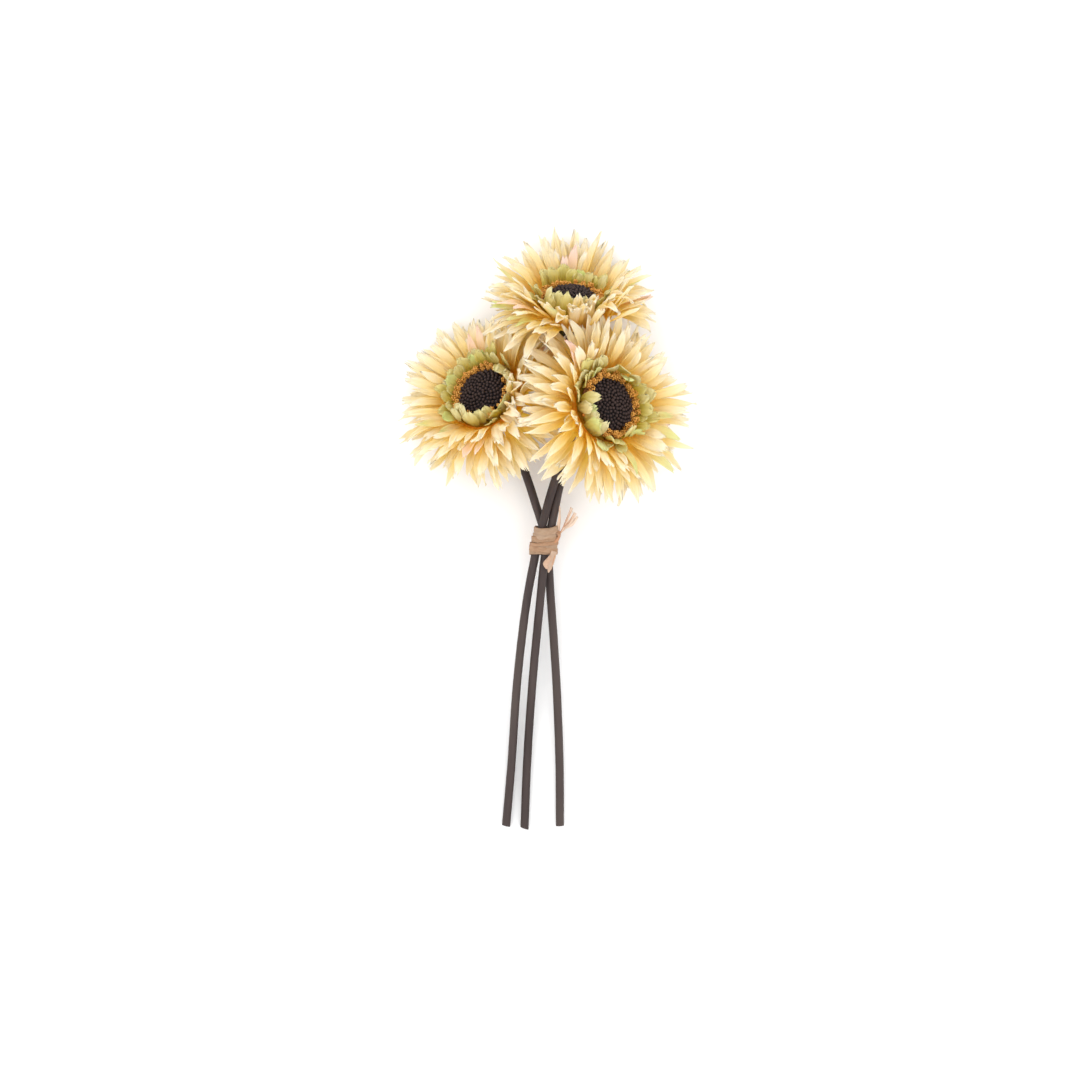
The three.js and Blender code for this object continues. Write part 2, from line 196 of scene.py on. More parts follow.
class Bench:
    """Adds nodes to one tree."""

    def __init__(self, tree):
        self.tree = tree

    def node(self, kind, settings, inputs, output=0):
        """A node of a kind. Its settings come first, then the values or wires of its sockets."""
        made = self.tree.nodes.new(kind)
        for name, value in settings.items():
            if name == "stops":
                self.set_stops(made.color_ramp, value)
            else:
                setattr(made, name, value)
        pairs = inputs.items() if isinstance(inputs, dict) else enumerate(inputs)
        for key, value in pairs:
            for part in value if isinstance(value, list) else [value]:
                if isinstance(part, Wire):
                    self.tree.links.new(part.socket, made.inputs[key])
                else:
                    made.inputs[key].default_value = part
        return Wire(self, made.outputs[output])

    def set_stops(self, ramp, stops):
        while len(ramp.elements) < len(stops):
            ramp.elements.new(1.0)
        for element, (place, colour) in zip(ramp.elements, stops):
            element.position = place
            element.color = colour

    def mixed(self, share, first, second):
        """Two colours mixed by a share from 0 to 1."""
        return self.node("ShaderNodeMix", {"data_type": "RGBA"}, {0: share, 6: first, 7: second}, 2)

    def tinted(self, share, first, second):
        return self.node("ShaderNodeMix", {"data_type": "RGBA", "blend_type": "MULTIPLY"},
                         {0: share, 6: first, 7: second}, 2)

    def ramp(self, stops, value):
        """Colours at places from 0 to 1, read at a value."""
        return self.node("ShaderNodeValToRGB", {"stops": stops}, [value])

    def tint(self):
        """The tint that a mesh carries. Its second output is the tint's last channel."""
        return self.node("ShaderNodeVertexColor", {"layer_name": "tint"}, {})

    def vector(self, x, y, z):
        return self.node("ShaderNodeCombineXYZ", {}, [x, y, z])

    def random(self, low, high, identity, seed):
        """A random number for each identity."""
        return self.node("FunctionNodeRandomValue", {"data_type": "FLOAT"},
                         {2: low, 3: high, 7: identity, 8: seed}, 1)


def dye(red, green, blue):
    """A display colour, from 0 to 255 a channel, as the shader's own linear colour."""
    return tuple((c / 12.92 if c <= 0.04045 else ((c + 0.055) / 1.055) ** 2.4)
                 for c in (red / 255, green / 255, blue / 255)) + (1.0,)


def new_material(name, roughness, specular=0.3):
    """A plain material, with its bench and its shader node."""
    material = bpy.data.materials.new(name)
    material.use_nodes = True
    bench = Bench(material.node_tree)
    shader = material.node_tree.nodes["Principled BSDF"]
    shader.inputs["Roughness"].default_value = roughness
    shader.inputs["Specular IOR Level"].default_value = specular
    return material, bench, shader


def join(bench, wire, node, socket):
    bench.tree.links.new(wire.socket, node.inputs[socket])


def noise(bench, place, scale, detail=2.0, roughness=0.5):
    return bench.node("ShaderNodeTexNoise", {}, {"Vector": place, "Scale": scale, "Detail": detail,
                                                 "Roughness": roughness})


def object_place(bench, stretch=(1, 1, 1)):
    """The object's own coordinates, stretched along each axis."""
    own = bench.node("ShaderNodeTexCoord", {}, {}, 3)
    return bench.node("ShaderNodeMapping", {}, {"Vector": own, "Scale": stretch})


def raise_surface(bench, shader, height, strength, distance):
    bump = bench.node("ShaderNodeBump", {}, {"Strength": strength, "Distance": distance, "Height": height})
    join(bench, bump, shader, "Normal")


def strip_inputs(bench):
    """What petals and raffia carry at each point: how far across and along it is, three shares of
    tint, and the strip's own number."""
    place = bench.node("ShaderNodeUVMap", {"uv_map": "petal"}, {})
    across = bench.node("ShaderNodeSeparateXYZ", {}, [place])
    tint = bench.tint()
    shares = bench.node("ShaderNodeSeparateColor", {}, [tint])
    return across, across.other(1), shares, shares.other(1), shares.other(2), tint.other(1)


def let_light_through(bench, shader, colour, share):
    glow = bench.node("ShaderNodeBsdfTranslucent", {}, {"Color": colour})
    both = bench.node("ShaderNodeMixShader", {}, [share, Wire(bench, shader.outputs[0]), glow])
    join(bench, both, bench.tree.nodes["Material Output"], "Surface")


# ---------------------------------------------------------------- finishes

def petal_fabric(name, root, low, middle, tip, edge, light_through, through):
    """Dyed polyester leaf fabric. The colour runs along the petal from root to tip, with fine
    lengthwise streaks, darker edges, and a blush or a green cast on some petals."""
    material, bench, shader = new_material(name, 0.78, 0.25)
    shader.inputs["Sheen Weight"].default_value = 0.15
    across, along, blush, greenish, paleness, own = strip_inputs(bench)
    lane = bench.vector(across * 26.0, along * 1.5, own * 61.0)
    streak = noise(bench, lane, 1.0, 4.0, 0.6)
    broad = noise(bench, bench.vector(across * 3.0, along * 2.2, own * 37.0), 1.0, 2.0, 0.5)
    shift = along + (broad - 0.5) * 0.34 + (streak - 0.5) * 0.12
    gradient = bench.ramp([(0.0, root), (0.2, low), (0.46, middle), (0.9, tip)], shift)
    off_centre = (across * 2.0 - 1.0).size()
    edging = (off_centre ** 5.0) * 0.55 * (1.1 - along).clipped()
    base = bench.mixed(edging, gradient, edge)
    base = bench.mixed(blush * (along * 1.3 - 0.1).clipped() * 0.9, base, dye(252, 220, 220))
    base = bench.mixed(greenish * (along * 1.8 - 0.4).clipped() * 0.8, base, dye(206, 220, 134))
    base = bench.mixed(paleness * 0.75 * (along * 1.6).clipped(), base, dye(253, 246, 228))
    shade = bench.ramp([(0.3, dye(240, 226, 196)), (0.62, dye(255, 255, 255))], streak)
    base = bench.tinted(0.42, base, shade)
    join(bench, base, shader, "Base Color")
    weave = noise(bench, bench.vector(across * 60.0, along * 5.0, own * 61.0), 1.0, 3.0, 0.6)
    raise_surface(bench, shader, weave, 0.35, 0.0003)
    let_light_through(bench, shader, light_through, (1.15 - along * 0.85) * through)
    return material


def seed_plastic():
    """Near-black beads, with a painted brown highlight on their tops and painted blue-black shade on
    their sides and in the gaps.
    """
    material, bench, shader = new_material("black seed plastic", 0.55, 0.2)
    grain = noise(bench, object_place(bench), 900.0, 2.0)
    patch = noise(bench, object_place(bench), 130.0, 2.0)
    # The tint runs from blue-black, painted shade on the beads' sides, in the gaps and on the dome, to a
    # painted brown highlight on their tops, with some tone at random
    base = bench.mixed(bench.tint(), dye(9, 7, 12), dye(66, 48, 42))
    base = bench.mixed((grain * patch * 0.8).clipped(), base, dye(56, 42, 40))
    join(bench, base, shader, "Base Color")
    raise_surface(bench, shader, grain, 0.4, 0.0002)
    return material


def stamen_flock():
    """Golden flocked beads, with a painted pale highlight on their outsides and painted burnt-brown shade
    in the gaps.
    """
    material, bench, shader = new_material("gold stamen flock", 0.62, 0.3)
    fine = noise(bench, object_place(bench), 700.0, 3.0)
    # The tint's dark end is painted burnt-brown shade in the gaps and on the ring, its pale end a painted
    # highlight on the beads' tops and on the higher beads, with some tone at random
    base = bench.ramp([(0.0, dye(86, 44, 16)), (0.42, dye(206, 140, 54)), (0.75, dye(228, 172, 88)),
                       (1.0, dye(250, 222, 156))], bench.tint() * 0.8 + fine * 0.3 - 0.05)
    join(bench, base, shader, "Base Color")
    raise_surface(bench, shader, fine, 0.5, 0.0003)
    return material


def stem_coating():
    """Dark brown matt coating with faint lengthwise mottling."""
    material, bench, shader = new_material("matt brown stem coating", 0.62, 0.3)
    long_mottle = noise(bench, object_place(bench, (260, 22, 260)), 1.0, 3.0, 0.6)
    blotch = noise(bench, object_place(bench, (60, 14, 60)), 1.0, 2.0)
    base = bench.ramp([(0.25, dye(44, 35, 34)), (0.5, dye(61, 50, 48)), (0.78, dye(74, 66, 60))], blotch)
    base = bench.mixed((long_mottle - 0.35).clipped() * 0.8, base, dye(84, 70, 65))
    join(bench, base, shader, "Base Color")
    grain = noise(bench, object_place(bench, (1200, 300, 1200)), 1.0, 3.0)
    raise_surface(bench, shader, grain + long_mottle, 0.35, 0.0003)
    return material


def calyx_plastic():
    """Olive moulded plastic, browner in the hollows."""
    material, bench, shader = new_material("olive calyx plastic", 0.6, 0.35)
    veins = noise(bench, object_place(bench), 160.0, 4.0)
    base = bench.ramp([(0.3, dye(58, 52, 34)), (0.55, dye(84, 84, 48)), (0.8, dye(112, 108, 62))], veins)
    join(bench, base, shader, "Base Color")
    raise_surface(bench, shader, veins, 0.5, 0.0006)
    return material


def raffia_strip():
    """Tan raffia with fibres along the strip."""
    material, bench, shader = new_material("tan raffia", 0.6, 0.35)
    across, along, warmth, _, paleness, own = strip_inputs(bench)
    strands = noise(bench, bench.vector(across * 22.0, along * 3.0, own * 53.0), 1.0, 4.0, 0.65)
    stain = noise(bench, bench.vector(across * 2.0, along * 5.0, own * 29.0), 1.0, 3.0, 0.5)
    base = bench.ramp([(0.22, dye(136, 98, 70)), (0.5, dye(174, 143, 115)), (0.75, dye(198, 174, 147))],
                      strands * 0.65 + stain * 0.35)
    base = bench.mixed(warmth * 0.7, base, dye(222, 148, 98))
    base = bench.mixed(paleness * 0.9, base, dye(252, 234, 214))
    join(bench, base, shader, "Base Color")
    raise_surface(bench, shader, strands, 0.6, 0.0005)
    let_light_through(bench, shader, dye(226, 176, 128), 0.22)
    return material


CREAM = petal_fabric("cream petal fabric", dye(254, 198, 78), dye(251, 222, 126), dye(246, 237, 192),
                     dye(247, 244, 229), dye(247, 231, 172), dye(255, 235, 150), 0.84)
GREEN = petal_fabric("green petal fabric", dye(126, 102, 18), dye(182, 160, 44), dye(200, 184, 78),
                     dye(224, 214, 142), dye(226, 212, 136), dye(236, 222, 80), 0.6)
SEED = seed_plastic()
STAMEN = stamen_flock()
STEM = stem_coating()
CALYX = calyx_plastic()
RAFFIA = raffia_strip()


# ---------------------------------------------------------------- meshes

def in_metres(points):
    """Drawing-frame millimetres as metres in the part's frame."""
    return (np.asarray(points) + TO_PART) / 1000


def show(name, mesh, node):
    """A finished mesh as a piece that stands for its CAD node."""
    piece = bpy.data.objects.new(name, mesh)
    bpy.context.scene.collection.objects.link(piece)
    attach(piece, "root")
    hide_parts(node)


class Parts:
    """Collects sheets and solids into the one mesh of a piece."""

    def __init__(self):
        self.points = []
        self.faces = []
        self.flat = []
        self.uvs = []
        self.tints = []
        self.count = 0

    def add(self, points, faces, flat, uvs, tint):
        """flat says which faces aren't smooth. uvs has a pair for each point, and tint is one colour for
        all of them or one for each."""
        points = np.asarray(points, float).reshape(-1, 3)
        self.points.append(points)
        self.faces.append(np.asarray(faces, int) + self.count)
        self.flat.append(np.asarray(flat, bool))
        self.uvs.append(np.asarray(uvs, float).reshape(-1, 2))
        self.tints.append(np.broadcast_to(np.asarray(tint, float), (len(points), 4)))
        self.count += len(points)

    def add_plain(self, points, faces, flat=False):
        """A shape whose finish reads no texture coordinates and no tint."""
        self.add(points, faces, np.full(len(faces), flat), np.zeros((np.size(points) // 3, 2)), (0, 0, 0, 0))

    def add_sheet(self, middle, thickness, uvs, tint, closed=False):
        """A sheet round a grid of points, kept just above what the bunch lies on. uvs has a pair for
        each point."""
        points, faces, flat = sheet(middle, thickness, closed)
        points[:, 2] = np.maximum(points[:, 2], LOWEST_CLOTH)
        uvs = uvs.reshape(-1, 2)
        self.add(points, faces, flat, np.concatenate([uvs, uvs]), tint)

    def mesh(self, name, material):
        """All that was added, as one mesh of quads."""
        points = in_metres(np.concatenate(self.points))
        faces = np.concatenate(self.faces)
        mesh = bpy.data.meshes.new(name)
        mesh.vertices.add(len(points))
        mesh.vertices.foreach_set("co", points.ravel())
        mesh.loops.add(faces.size)
        mesh.loops.foreach_set("vertex_index", faces.ravel())
        mesh.polygons.add(len(faces))
        mesh.polygons.foreach_set("loop_start", np.arange(0, faces.size, 4))
        mesh.polygons.foreach_set("use_smooth", ~np.concatenate(self.flat))
        mesh.update(calc_edges=True)
        uv_layer = mesh.uv_layers.new(name="petal")
        uv_layer.data.foreach_set("uv", np.concatenate(self.uvs)[faces.ravel()].ravel())
        tint_layer = mesh.color_attributes.new("tint", "FLOAT_COLOR", "POINT")
        tint_layer.data.foreach_set("color", np.concatenate(self.tints).ravel())
        mesh.materials.append(material)
        return mesh


def grid_faces(rows, columns, start=0, closed=False):
    """Quads over a grid of points, row by row. closed joins the last row to the first."""
    count = rows if closed else rows - 1
    row, column = np.meshgrid(np.arange(count), np.arange(columns - 1), indexing="ij")
    row = row.ravel()
    column = column.ravel()
    after = (row + 1) % rows
    return start + np.stack([row * columns + column, after * columns + column,
                             after * columns + column + 1, row * columns + column + 1], axis=1)


def sheet(middle, thickness, closed=False):
    """A closed sheet of cloth round a grid of points: both walls, and a rim between them.
    The columns' direction crossed with the rows' is the side that faces out."""
    rows, columns = middle.shape[:2]
    down = np.gradient(middle, axis=0)
    if closed:
        down = (np.roll(middle, -1, axis=0) - np.roll(middle, 1, axis=0)) / 2
    over = np.gradient(middle, axis=1)
    normal = np.cross(down, over)
    normal /= np.maximum(np.linalg.norm(normal, axis=2, keepdims=True), 1e-9)
    half = normal * thickness / 2
    points = np.concatenate([(middle + half).reshape(-1, 3), (middle - half).reshape(-1, 3)])
    top = grid_faces(rows, columns, 0, closed)
    under = grid_faces(rows, columns, rows * columns, closed)[:, ::-1]
    grid = np.arange(rows * columns).reshape(rows, columns)
    if closed:
        rims = [np.append(grid[:, 0], grid[0, 0])[::-1], np.append(grid[:, -1], grid[0, -1])]
    else:
        rims = [np.concatenate([grid[:, 0][::-1], grid[0, 1:], grid[1:, -1], grid[-1, -2::-1]])]
    walls = []
    for rim in rims:
        lower = rim + rows * columns
        walls.append(np.stack([rim[:-1], rim[1:], lower[1:], lower[:-1]], axis=1))
    walls = np.concatenate(walls)
    faces = np.concatenate([top, under, walls])
    flat = np.zeros(len(faces), bool)
    flat[len(top) + len(under):] = True
    return points, faces, flat


def grow(name, tree, inputs, source=None):
    """Runs a geometry tree and returns its result as a plain mesh. inputs are by the sockets' names."""
    holder = bpy.data.objects.new(name, source or bpy.data.meshes.new(name))
    bpy.context.scene.collection.objects.link(holder)
    modifier = holder.modifiers.new(name, "NODES")
    modifier.node_group = tree
    for item in tree.interface.items_tree:
        if item.item_type == "SOCKET" and item.in_out == "INPUT" and item.name in inputs:
            modifier[item.identifier] = inputs[item.name]
    bpy.context.view_layer.update()
    ready = holder.evaluated_get(bpy.context.evaluated_depsgraph_get())
    mesh = bpy.data.meshes.new_from_object(ready)
    mesh.name = name
    bpy.data.objects.remove(holder)
    return mesh


def new_tree(name, sizes):
    """A geometry tree with a named input for each size, given as its starting value."""
    tree = bpy.data.node_groups.new(name, "GeometryNodeTree")
    tree.interface.new_socket("Geometry", in_out="INPUT", socket_type="NodeSocketGeometry")
    tree.interface.new_socket("Geometry", in_out="OUTPUT", socket_type="NodeSocketGeometry")
    kinds = {int: "NodeSocketInt", float: "NodeSocketFloat", bpy.types.Material: "NodeSocketMaterial"}
    for label, value in sizes.items():
        socket = tree.interface.new_socket(label, in_out="INPUT", socket_type=kinds[type(value)])
        socket.default_value = value
    bench = Bench(tree)
    entry = tree.nodes.new("NodeGroupInput")
    wires = {socket.name: Wire(bench, socket) for socket in entry.outputs if socket.name}
    return tree, bench, wires


def end_tree(bench, geometry, material):
    real = bench.node("GeometryNodeRealizeInstances", {}, [geometry])
    coated = bench.node("GeometryNodeSetMaterial", {}, {"Geometry": real, "Material": material})
    last = bench.tree.nodes.new("NodeGroupOutput")
    join(bench, coated, last, 0)


# ---------------------------------------------------------------- routes and heads

def chance(first, second):
    """A fixed, repeatable number from 0 to 1 for each pair of seeds."""
    wave = math.sin(first * 12.9898 + second * 78.233) * 43758.5453
    return wave - math.floor(wave)


def smooth_curve(points, count):
    """count points along a centripetal curve through the given ones."""
    points = np.array(points, float)
    points = np.vstack([2 * points[0] - points[1], points, 2 * points[-1] - points[-2]])
    spans = len(points) - 3
    result = []
    for share in np.linspace(0, spans, count):
        span = min(int(share), spans - 1)
        t = share - span
        a, b, c, d = points[span:span + 4]
        before, here, after = [max(np.linalg.norm(q - p), 1e-6) ** 0.5 for p, q in ((a, b), (b, c), (c, d))]
        start = ((b - a) / before - (c - a) / (before + here) + (c - b) / here) * here
        finish = ((c - b) / here - (d - b) / (here + after) + (d - c) / after) * here
        result.append((2 * t ** 3 - 3 * t ** 2 + 1) * b + (t ** 3 - 2 * t ** 2 + t) * start
                      + (3 * t ** 2 - 2 * t ** 3) * c + (t ** 3 - t ** 2) * finish)
    return np.array(result)


def head_axes(head):
    """Rows: across, along and up, which is the way the disc faces."""
    up = np.array(head["axis"]) / np.linalg.norm(head["axis"])
    across = np.array([1.0, 0.0, 0.0]) - up * up[0]
    across /= np.linalg.norm(across)
    return np.array([across, np.cross(up, across), up])


def from_head(head, points):
    return np.asarray(points) @ head_axes(head) + np.array(head["centre"])


def head_matrix(head):
    """From a head's own millimetres to the part's metres."""
    matrix = Matrix.Identity(4)
    axes = head_axes(head)
    place = in_metres(head["centre"])
    for row in range(3):
        for column in range(3):
            matrix[row][column] = axes[column][row] / 1000
        matrix[row][3] = place[row]
    return matrix


def stem_route(head, count):
    up = head_axes(head)[2]
    tops = [np.array(head["centre"]) + up * height
            for height in (CALYX_END - 6, CALYX_END + 1, SOCKET_END - GAP)]
    return smooth_curve(list(STEM_ROUTES[head["name"]]) + tops, count)


STEM_LINES = {head["name"]: stem_route(head, 400) for head in HEADS}


def stem_at(name, y):
    """How far across and how high the middle of a stem is at a distance along the bunch."""
    line = STEM_LINES[name]
    return np.array([np.interp(y, line[:, 1], line[:, 0]), np.interp(y, line[:, 1], line[:, 2])])


def root_radius(blade):
    """Where a blade starts: inside its rim, and further out the more steeply it rises."""
    return blade["rim"] - BLADE_ROOT + BLADE_STAND_OFF * max(math.sin(math.radians(blade["rise"])), 0)


def tip_of(blade):
    """The tip of a blade in its head's frame."""
    rise = math.radians(blade["rise"])
    bend = -math.radians(blade["droop"]) / blade["length"]
    end = rise + bend * blade["length"]
    radius = root_radius(blade) + (math.sin(end) - math.sin(rise)) / bend
    azimuth = math.radians(blade["azimuth"] + blade["sway"])
    height = blade["height"] + (math.cos(rise) - math.cos(end)) / bend
    return np.array([radius * math.cos(azimuth), radius * math.sin(azimuth), height])


def rim_of(head, level):
    return (INNER_RIM + RIM_STEP * (len(LAYERS) - 1 - level)) * head["size"]


def height_of(level):
    """The middle of a layer's fabric above the foot of the disc."""
    return LAYER_THICKNESS / 2 - LAYER_PITCH * (len(LAYERS) - level)


def share_of(act, azimuth):
    """How much an azimuth feels something that acts toward one side: 1 in its middle, 0 outside."""
    away = abs((azimuth - act["toward"] + 180) % 360 - 180)
    return math.cos(math.radians(90 * away / act["spread"])) if away < act["spread"] else 0.0


def lay_of(head, level, azimuth):
    """Rise, droop, stretch and crumpling of one layer's blades at an azimuth."""
    layer = LAYERS[level]
    rise = layer["rise"]
    stretch = 1.0
    crumple = 0.0
    if layer["kind"] == "green":
        if any(share_of(fold, azimuth) > 0 for fold in head["folds"]):
            return *FOLDED[layer["name"]], 1.0, 0.3
        return rise, layer["droop"], 1.0, 0.0
    for reach in head["reaches"]:
        stretch += reach["more"] * share_of(reach, azimuth)
    for press in head["presses"]:
        share = share_of(press, azimuth)
        if level >= press["from"] and rise < press["rise"]:
            rise += (press["rise"] + 3 * level - rise) * share
            stretch -= press["crumple"] * share * level / len(LAYERS)
            crumple = max(crumple, share_of(press.get("creases", press), azimuth) * level / 4)
    return rise, layer["droop"], stretch, crumple


def blades_of(head, level):
    """A layer's blades as they lie against their neighbours in the solid model. Each blade's tip is
    looked for among the solid's corners, through the steps in which it was bent and shortened. Green
    blades that the solid model leaves out are put in as they were drawn."""
    layer = LAYERS[level]
    seed = HEADS.index(head) * 10 + level
    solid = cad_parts[f"{layer['name']}_{head['name']}"]
    corners = np.array([vertex.co for vertex in solid.data.vertices]) * 1000 - TO_PART
    corners = (corners - np.array(head["centre"])) @ head_axes(head).T
    found = []
    for index in range(layer["blades"]):
        azimuth = (index + 0.5 * (level % 2) + 0.3 * (chance(seed, index) - 0.5)) * 360 / layer["blades"]
        rise, droop, stretch, crumple = lay_of(head, level, azimuth)
        blade = {
            "head": head,
            "level": level,
            "kind": layer["kind"],
            "azimuth": azimuth,
            "width": layer["width"] * head["size"],
            "rim": rim_of(head, level),
            "height": height_of(level),
            "droop": droop,
            "crumple": crumple,
            "sway": 6 * (chance(seed, index + 150) - 0.5),
        }
        full = layer["length"] * head["size"] * (0.9 + 0.2 * chance(seed, index + 50)) * stretch
        start = rise + 5 * (chance(seed, index + 100) - 0.5)
        for shrink in SHRINKS:
            for step in range(int((STEEPEST - start) / LIFT_STEP) + 1):
                blade.update(length=full * shrink, rise=start + LIFT_STEP * step)
                nearest = np.linalg.norm(corners - tip_of(blade), axis=1).min()
                if nearest < SAME_TIP:
                    break
            if nearest < SAME_TIP:
                found.append(blade)
                break
        else:
            if layer["kind"] == "green":
                blade.update(length=full, rise=start)
                found.append(blade)
    return found


# ---------------------------------------------------------------- petals

# Points along and across each kind of petal, the cloth's thickness, and the share of neighbours
# with a slim petal between them
RAY_ROWS = 15
RAY_COLUMNS = 9
GREEN_ROWS = 12
GREEN_COLUMNS = 13
FABRIC = 0.28
BETWEEN = 0.6


def ray_outline(along, blunt):
    """Half width of a ray petal, as a share: narrow root, widest past the middle, pointed tip."""
    reach = along * (1 - blunt)
    swell = 0.36 + 0.64 * np.sin(np.clip(reach / 0.6, 0, 1) * math.pi / 2) ** 1.2
    taper = 1 - np.clip((reach - 0.56) / 0.44, 0, 1) ** 1.7
    return np.maximum(swell * taper, 0.035)


def green_outline(along):
    """Half width of a green petal: spoon shaped, with a round end."""
    swell = 0.42 + 0.58 * np.sin(np.clip(along / 0.7, 0, 1) * math.pi / 2) ** 1.4
    taper = np.sqrt(1 - np.clip((along - 0.66) / 0.36, 0, 1) ** 2)
    return np.maximum(swell * taper, 0.06)


def ray_cut(blade, u, columns, rng):
    """How one ray petal is cut and pressed: half width, toothed end, fold, pleat and wave."""
    blunt = rng.choice([0, 0.08, 0.18], p=[0.36, 0.32, 0.32])
    teeth = blunt * 0.95 * rng.uniform(0, 1, columns)[None, :]
    widening = rng.uniform(0.82, 1.08) * (1 + 0.3 * blade["crumple"])
    fold = rng.choice([0.12, 0.3, 0.55, 0.95, -0.25], p=[0.25, 0.3, 0.2, 0.1, 0.15])
    pleat = rng.uniform(0.12, 0.42)
    wave = rng.uniform(0.3, 1.3)
    return blade["width"] / 2 * widening * ray_outline(u, blunt), teeth, fold, pleat, wave


def green_cut(blade, u, columns, rng):
    """The same for a green petal, whose round end has three lobes."""
    lobes = 1 - np.abs(np.cos(np.linspace(-1, 1, columns) * math.pi * 1.5))
    teeth = (0.13 * lobes + 0.06 * rng.uniform(0, 1, columns))[None, :]
    widening = rng.uniform(0.95, 1.35)
    fold = rng.uniform(-0.15, 0.4)
    pleat = rng.uniform(0.15, 0.4)
    wave = rng.uniform(0.3, 0.9)
    return blade["width"] / 2 * widening * green_outline(u), teeth, fold, pleat, wave


def petal_spine(blade, u, rng):
    """A petal's middle line: how far out and how high it runs from its root, and its angle. It bends
    as its blade does, then curls toward its tip, and crumpled petals curl most."""
    ray = blade["kind"] == "ray"
    crumple = blade["crumple"]
    usual_curl = 2 + 95 * crumple if ray else 2
    curl = blade.get("curl", rng.normal(usual_curl, (18 if ray else 14) + 25 * crumple))
    tightness = 3 - 1.5 * min(max(crumple, 0), 1)
    angles = np.radians(blade["rise"] - blade["droop"] * u - curl * u ** tightness
                        + rng.uniform(-4, 4) * np.sin(u * math.pi * 2))
    stretch = rng.uniform(0.9, 1.05) if ray else rng.uniform(0.95, 1.3) + 0.4 * crumple
    step = blade["length"] * stretch / (len(u) - 1)
    middles = (angles[1:] + angles[:-1]) / 2
    out = np.concatenate([[0], np.cumsum(np.cos(middles)) * step])
    lift = np.concatenate([[0], np.cumsum(np.sin(middles)) * step])
    return out, lift, angles


def petal_relief(u, v, side, fold, pleat, wave, crumple, rng):
    """How far the cloth stands off its middle plane: a lengthwise fold, pleats, wavy edges and
    rumples."""
    rise = fold * np.abs(side) ** 1.15 * np.sin(np.clip(u * 1.6, 0, 1) * math.pi / 2)
    rise = rise + pleat * np.cos(v * math.pi * 2.5 + rng.uniform(-0.6, 0.6)) * np.sin(u * math.pi) ** 0.7
    ripple = np.sin(u * rng.uniform(5, 9) + rng.uniform(0, 6.3) + v * rng.uniform(0.5, 2))
    rise = rise + wave * ripple * np.abs(v) ** 1.5 * u
    for size in (1.0, 0.6, 0.35):
        rumple = np.sin(u * rng.uniform(6, 16) + v * rng.uniform(-6, 6) + rng.uniform(0, 6.3))
        rise = rise + (0.26 + 0.5 * crumple) * size * rumple * u
    return rise


def petal_points(blade, rng):
    """The middle surface of one petal, in its head's frame, and its texture coordinates."""
    ray = blade["kind"] == "ray"
    crumple = blade["crumple"]
    rows, columns = (RAY_ROWS, RAY_COLUMNS) if ray else (GREEN_ROWS, GREEN_COLUMNS)
    along = np.linspace(0, 1, rows)
    u = along[:, None]
    v = np.linspace(-1, 1, columns)[None, :]
    half, teeth, fold, pleat, wave = (ray_cut if ray else green_cut)(blade, u, columns, rng)
    half = half * (1 + 0.13 * rng.uniform(-1, 1, (rows, 1)) * u)
    reach = u * (1 - teeth * u ** 2)
    out, lift, angles = [np.interp(reach, along, line) for line in petal_spine(blade, along, rng)]
    side = half * v * math.cos(math.atan(fold) * 0.8)
    rise = petal_relief(u, v, side, fold, pleat, wave, crumple, rng)
    twist = np.radians(rng.normal(0, 15 + 25 * crumple)) * u ** 1.3
    across = side * np.cos(twist) - rise * np.sin(twist)
    upward = side * np.sin(twist) + rise * np.cos(twist)
    radius = root_radius(blade) + out - upward * np.sin(angles)
    height = blade["height"] + lift + upward * np.cos(angles)
    azimuth = np.radians(blade["azimuth"] + blade["sway"] * u + 4 * rng.uniform(-1, 1) * u ** 2)
    x = radius * np.cos(azimuth) - across * np.sin(azimuth)
    y = radius * np.sin(azimuth) + across * np.cos(azimuth)
    uvs = np.stack(np.broadcast_arrays((v + 1) / 2, u), axis=2)
    return np.stack([x, y, height], axis=2), uvs


def filled_out(blades, share, rng):
    """The layer's blades, and slimmer ones between some neighbours, which lie against both."""
    result = list(blades)
    for blade, after in zip(blades, blades[1:] + blades[:1]):
        gap = (after["azimuth"] - blade["azimuth"]) % 360
        if rng.uniform() < share * (1 - blade["crumple"]) and gap < 60:
            between = dict(blade)
            between.update(
                azimuth=blade["azimuth"] + gap * rng.uniform(0.4, 0.6),
                rise=(blade["rise"] + after["rise"]) / 2 + rng.uniform(-1, 6),
                length=(blade["length"] + after["length"]) / 2 * rng.uniform(0.72, 0.97),
                width=blade["width"] * 0.85,
                sway=(blade["sway"] + after["sway"]) / 2)
            result.append(between)
    return result


def fabric_ring(parts, head, level):
    """The ring of fabric that a layer's petals are cut from."""
    rim = rim_of(head, level)
    turn = np.linspace(0, 2 * math.pi, 73)[:-1][:, None]
    radius = np.linspace(LAYER_HOLE, rim, 7)[None, :]
    wave = 0.12 * np.sin(turn * 9 + level) * (radius / rim)
    middle = np.stack(np.broadcast_arrays(radius * np.cos(turn), radius * np.sin(turn),
                                          height_of(level) + wave), axis=2)
    uvs = np.full((*middle.shape[:2], 2), 0.5)
    uvs[..., 1] = 0.02
    parts.add_sheet(from_head(head, middle)[:, ::-1], FABRIC, uvs, (0, 0, 0, 0.5), closed=True)


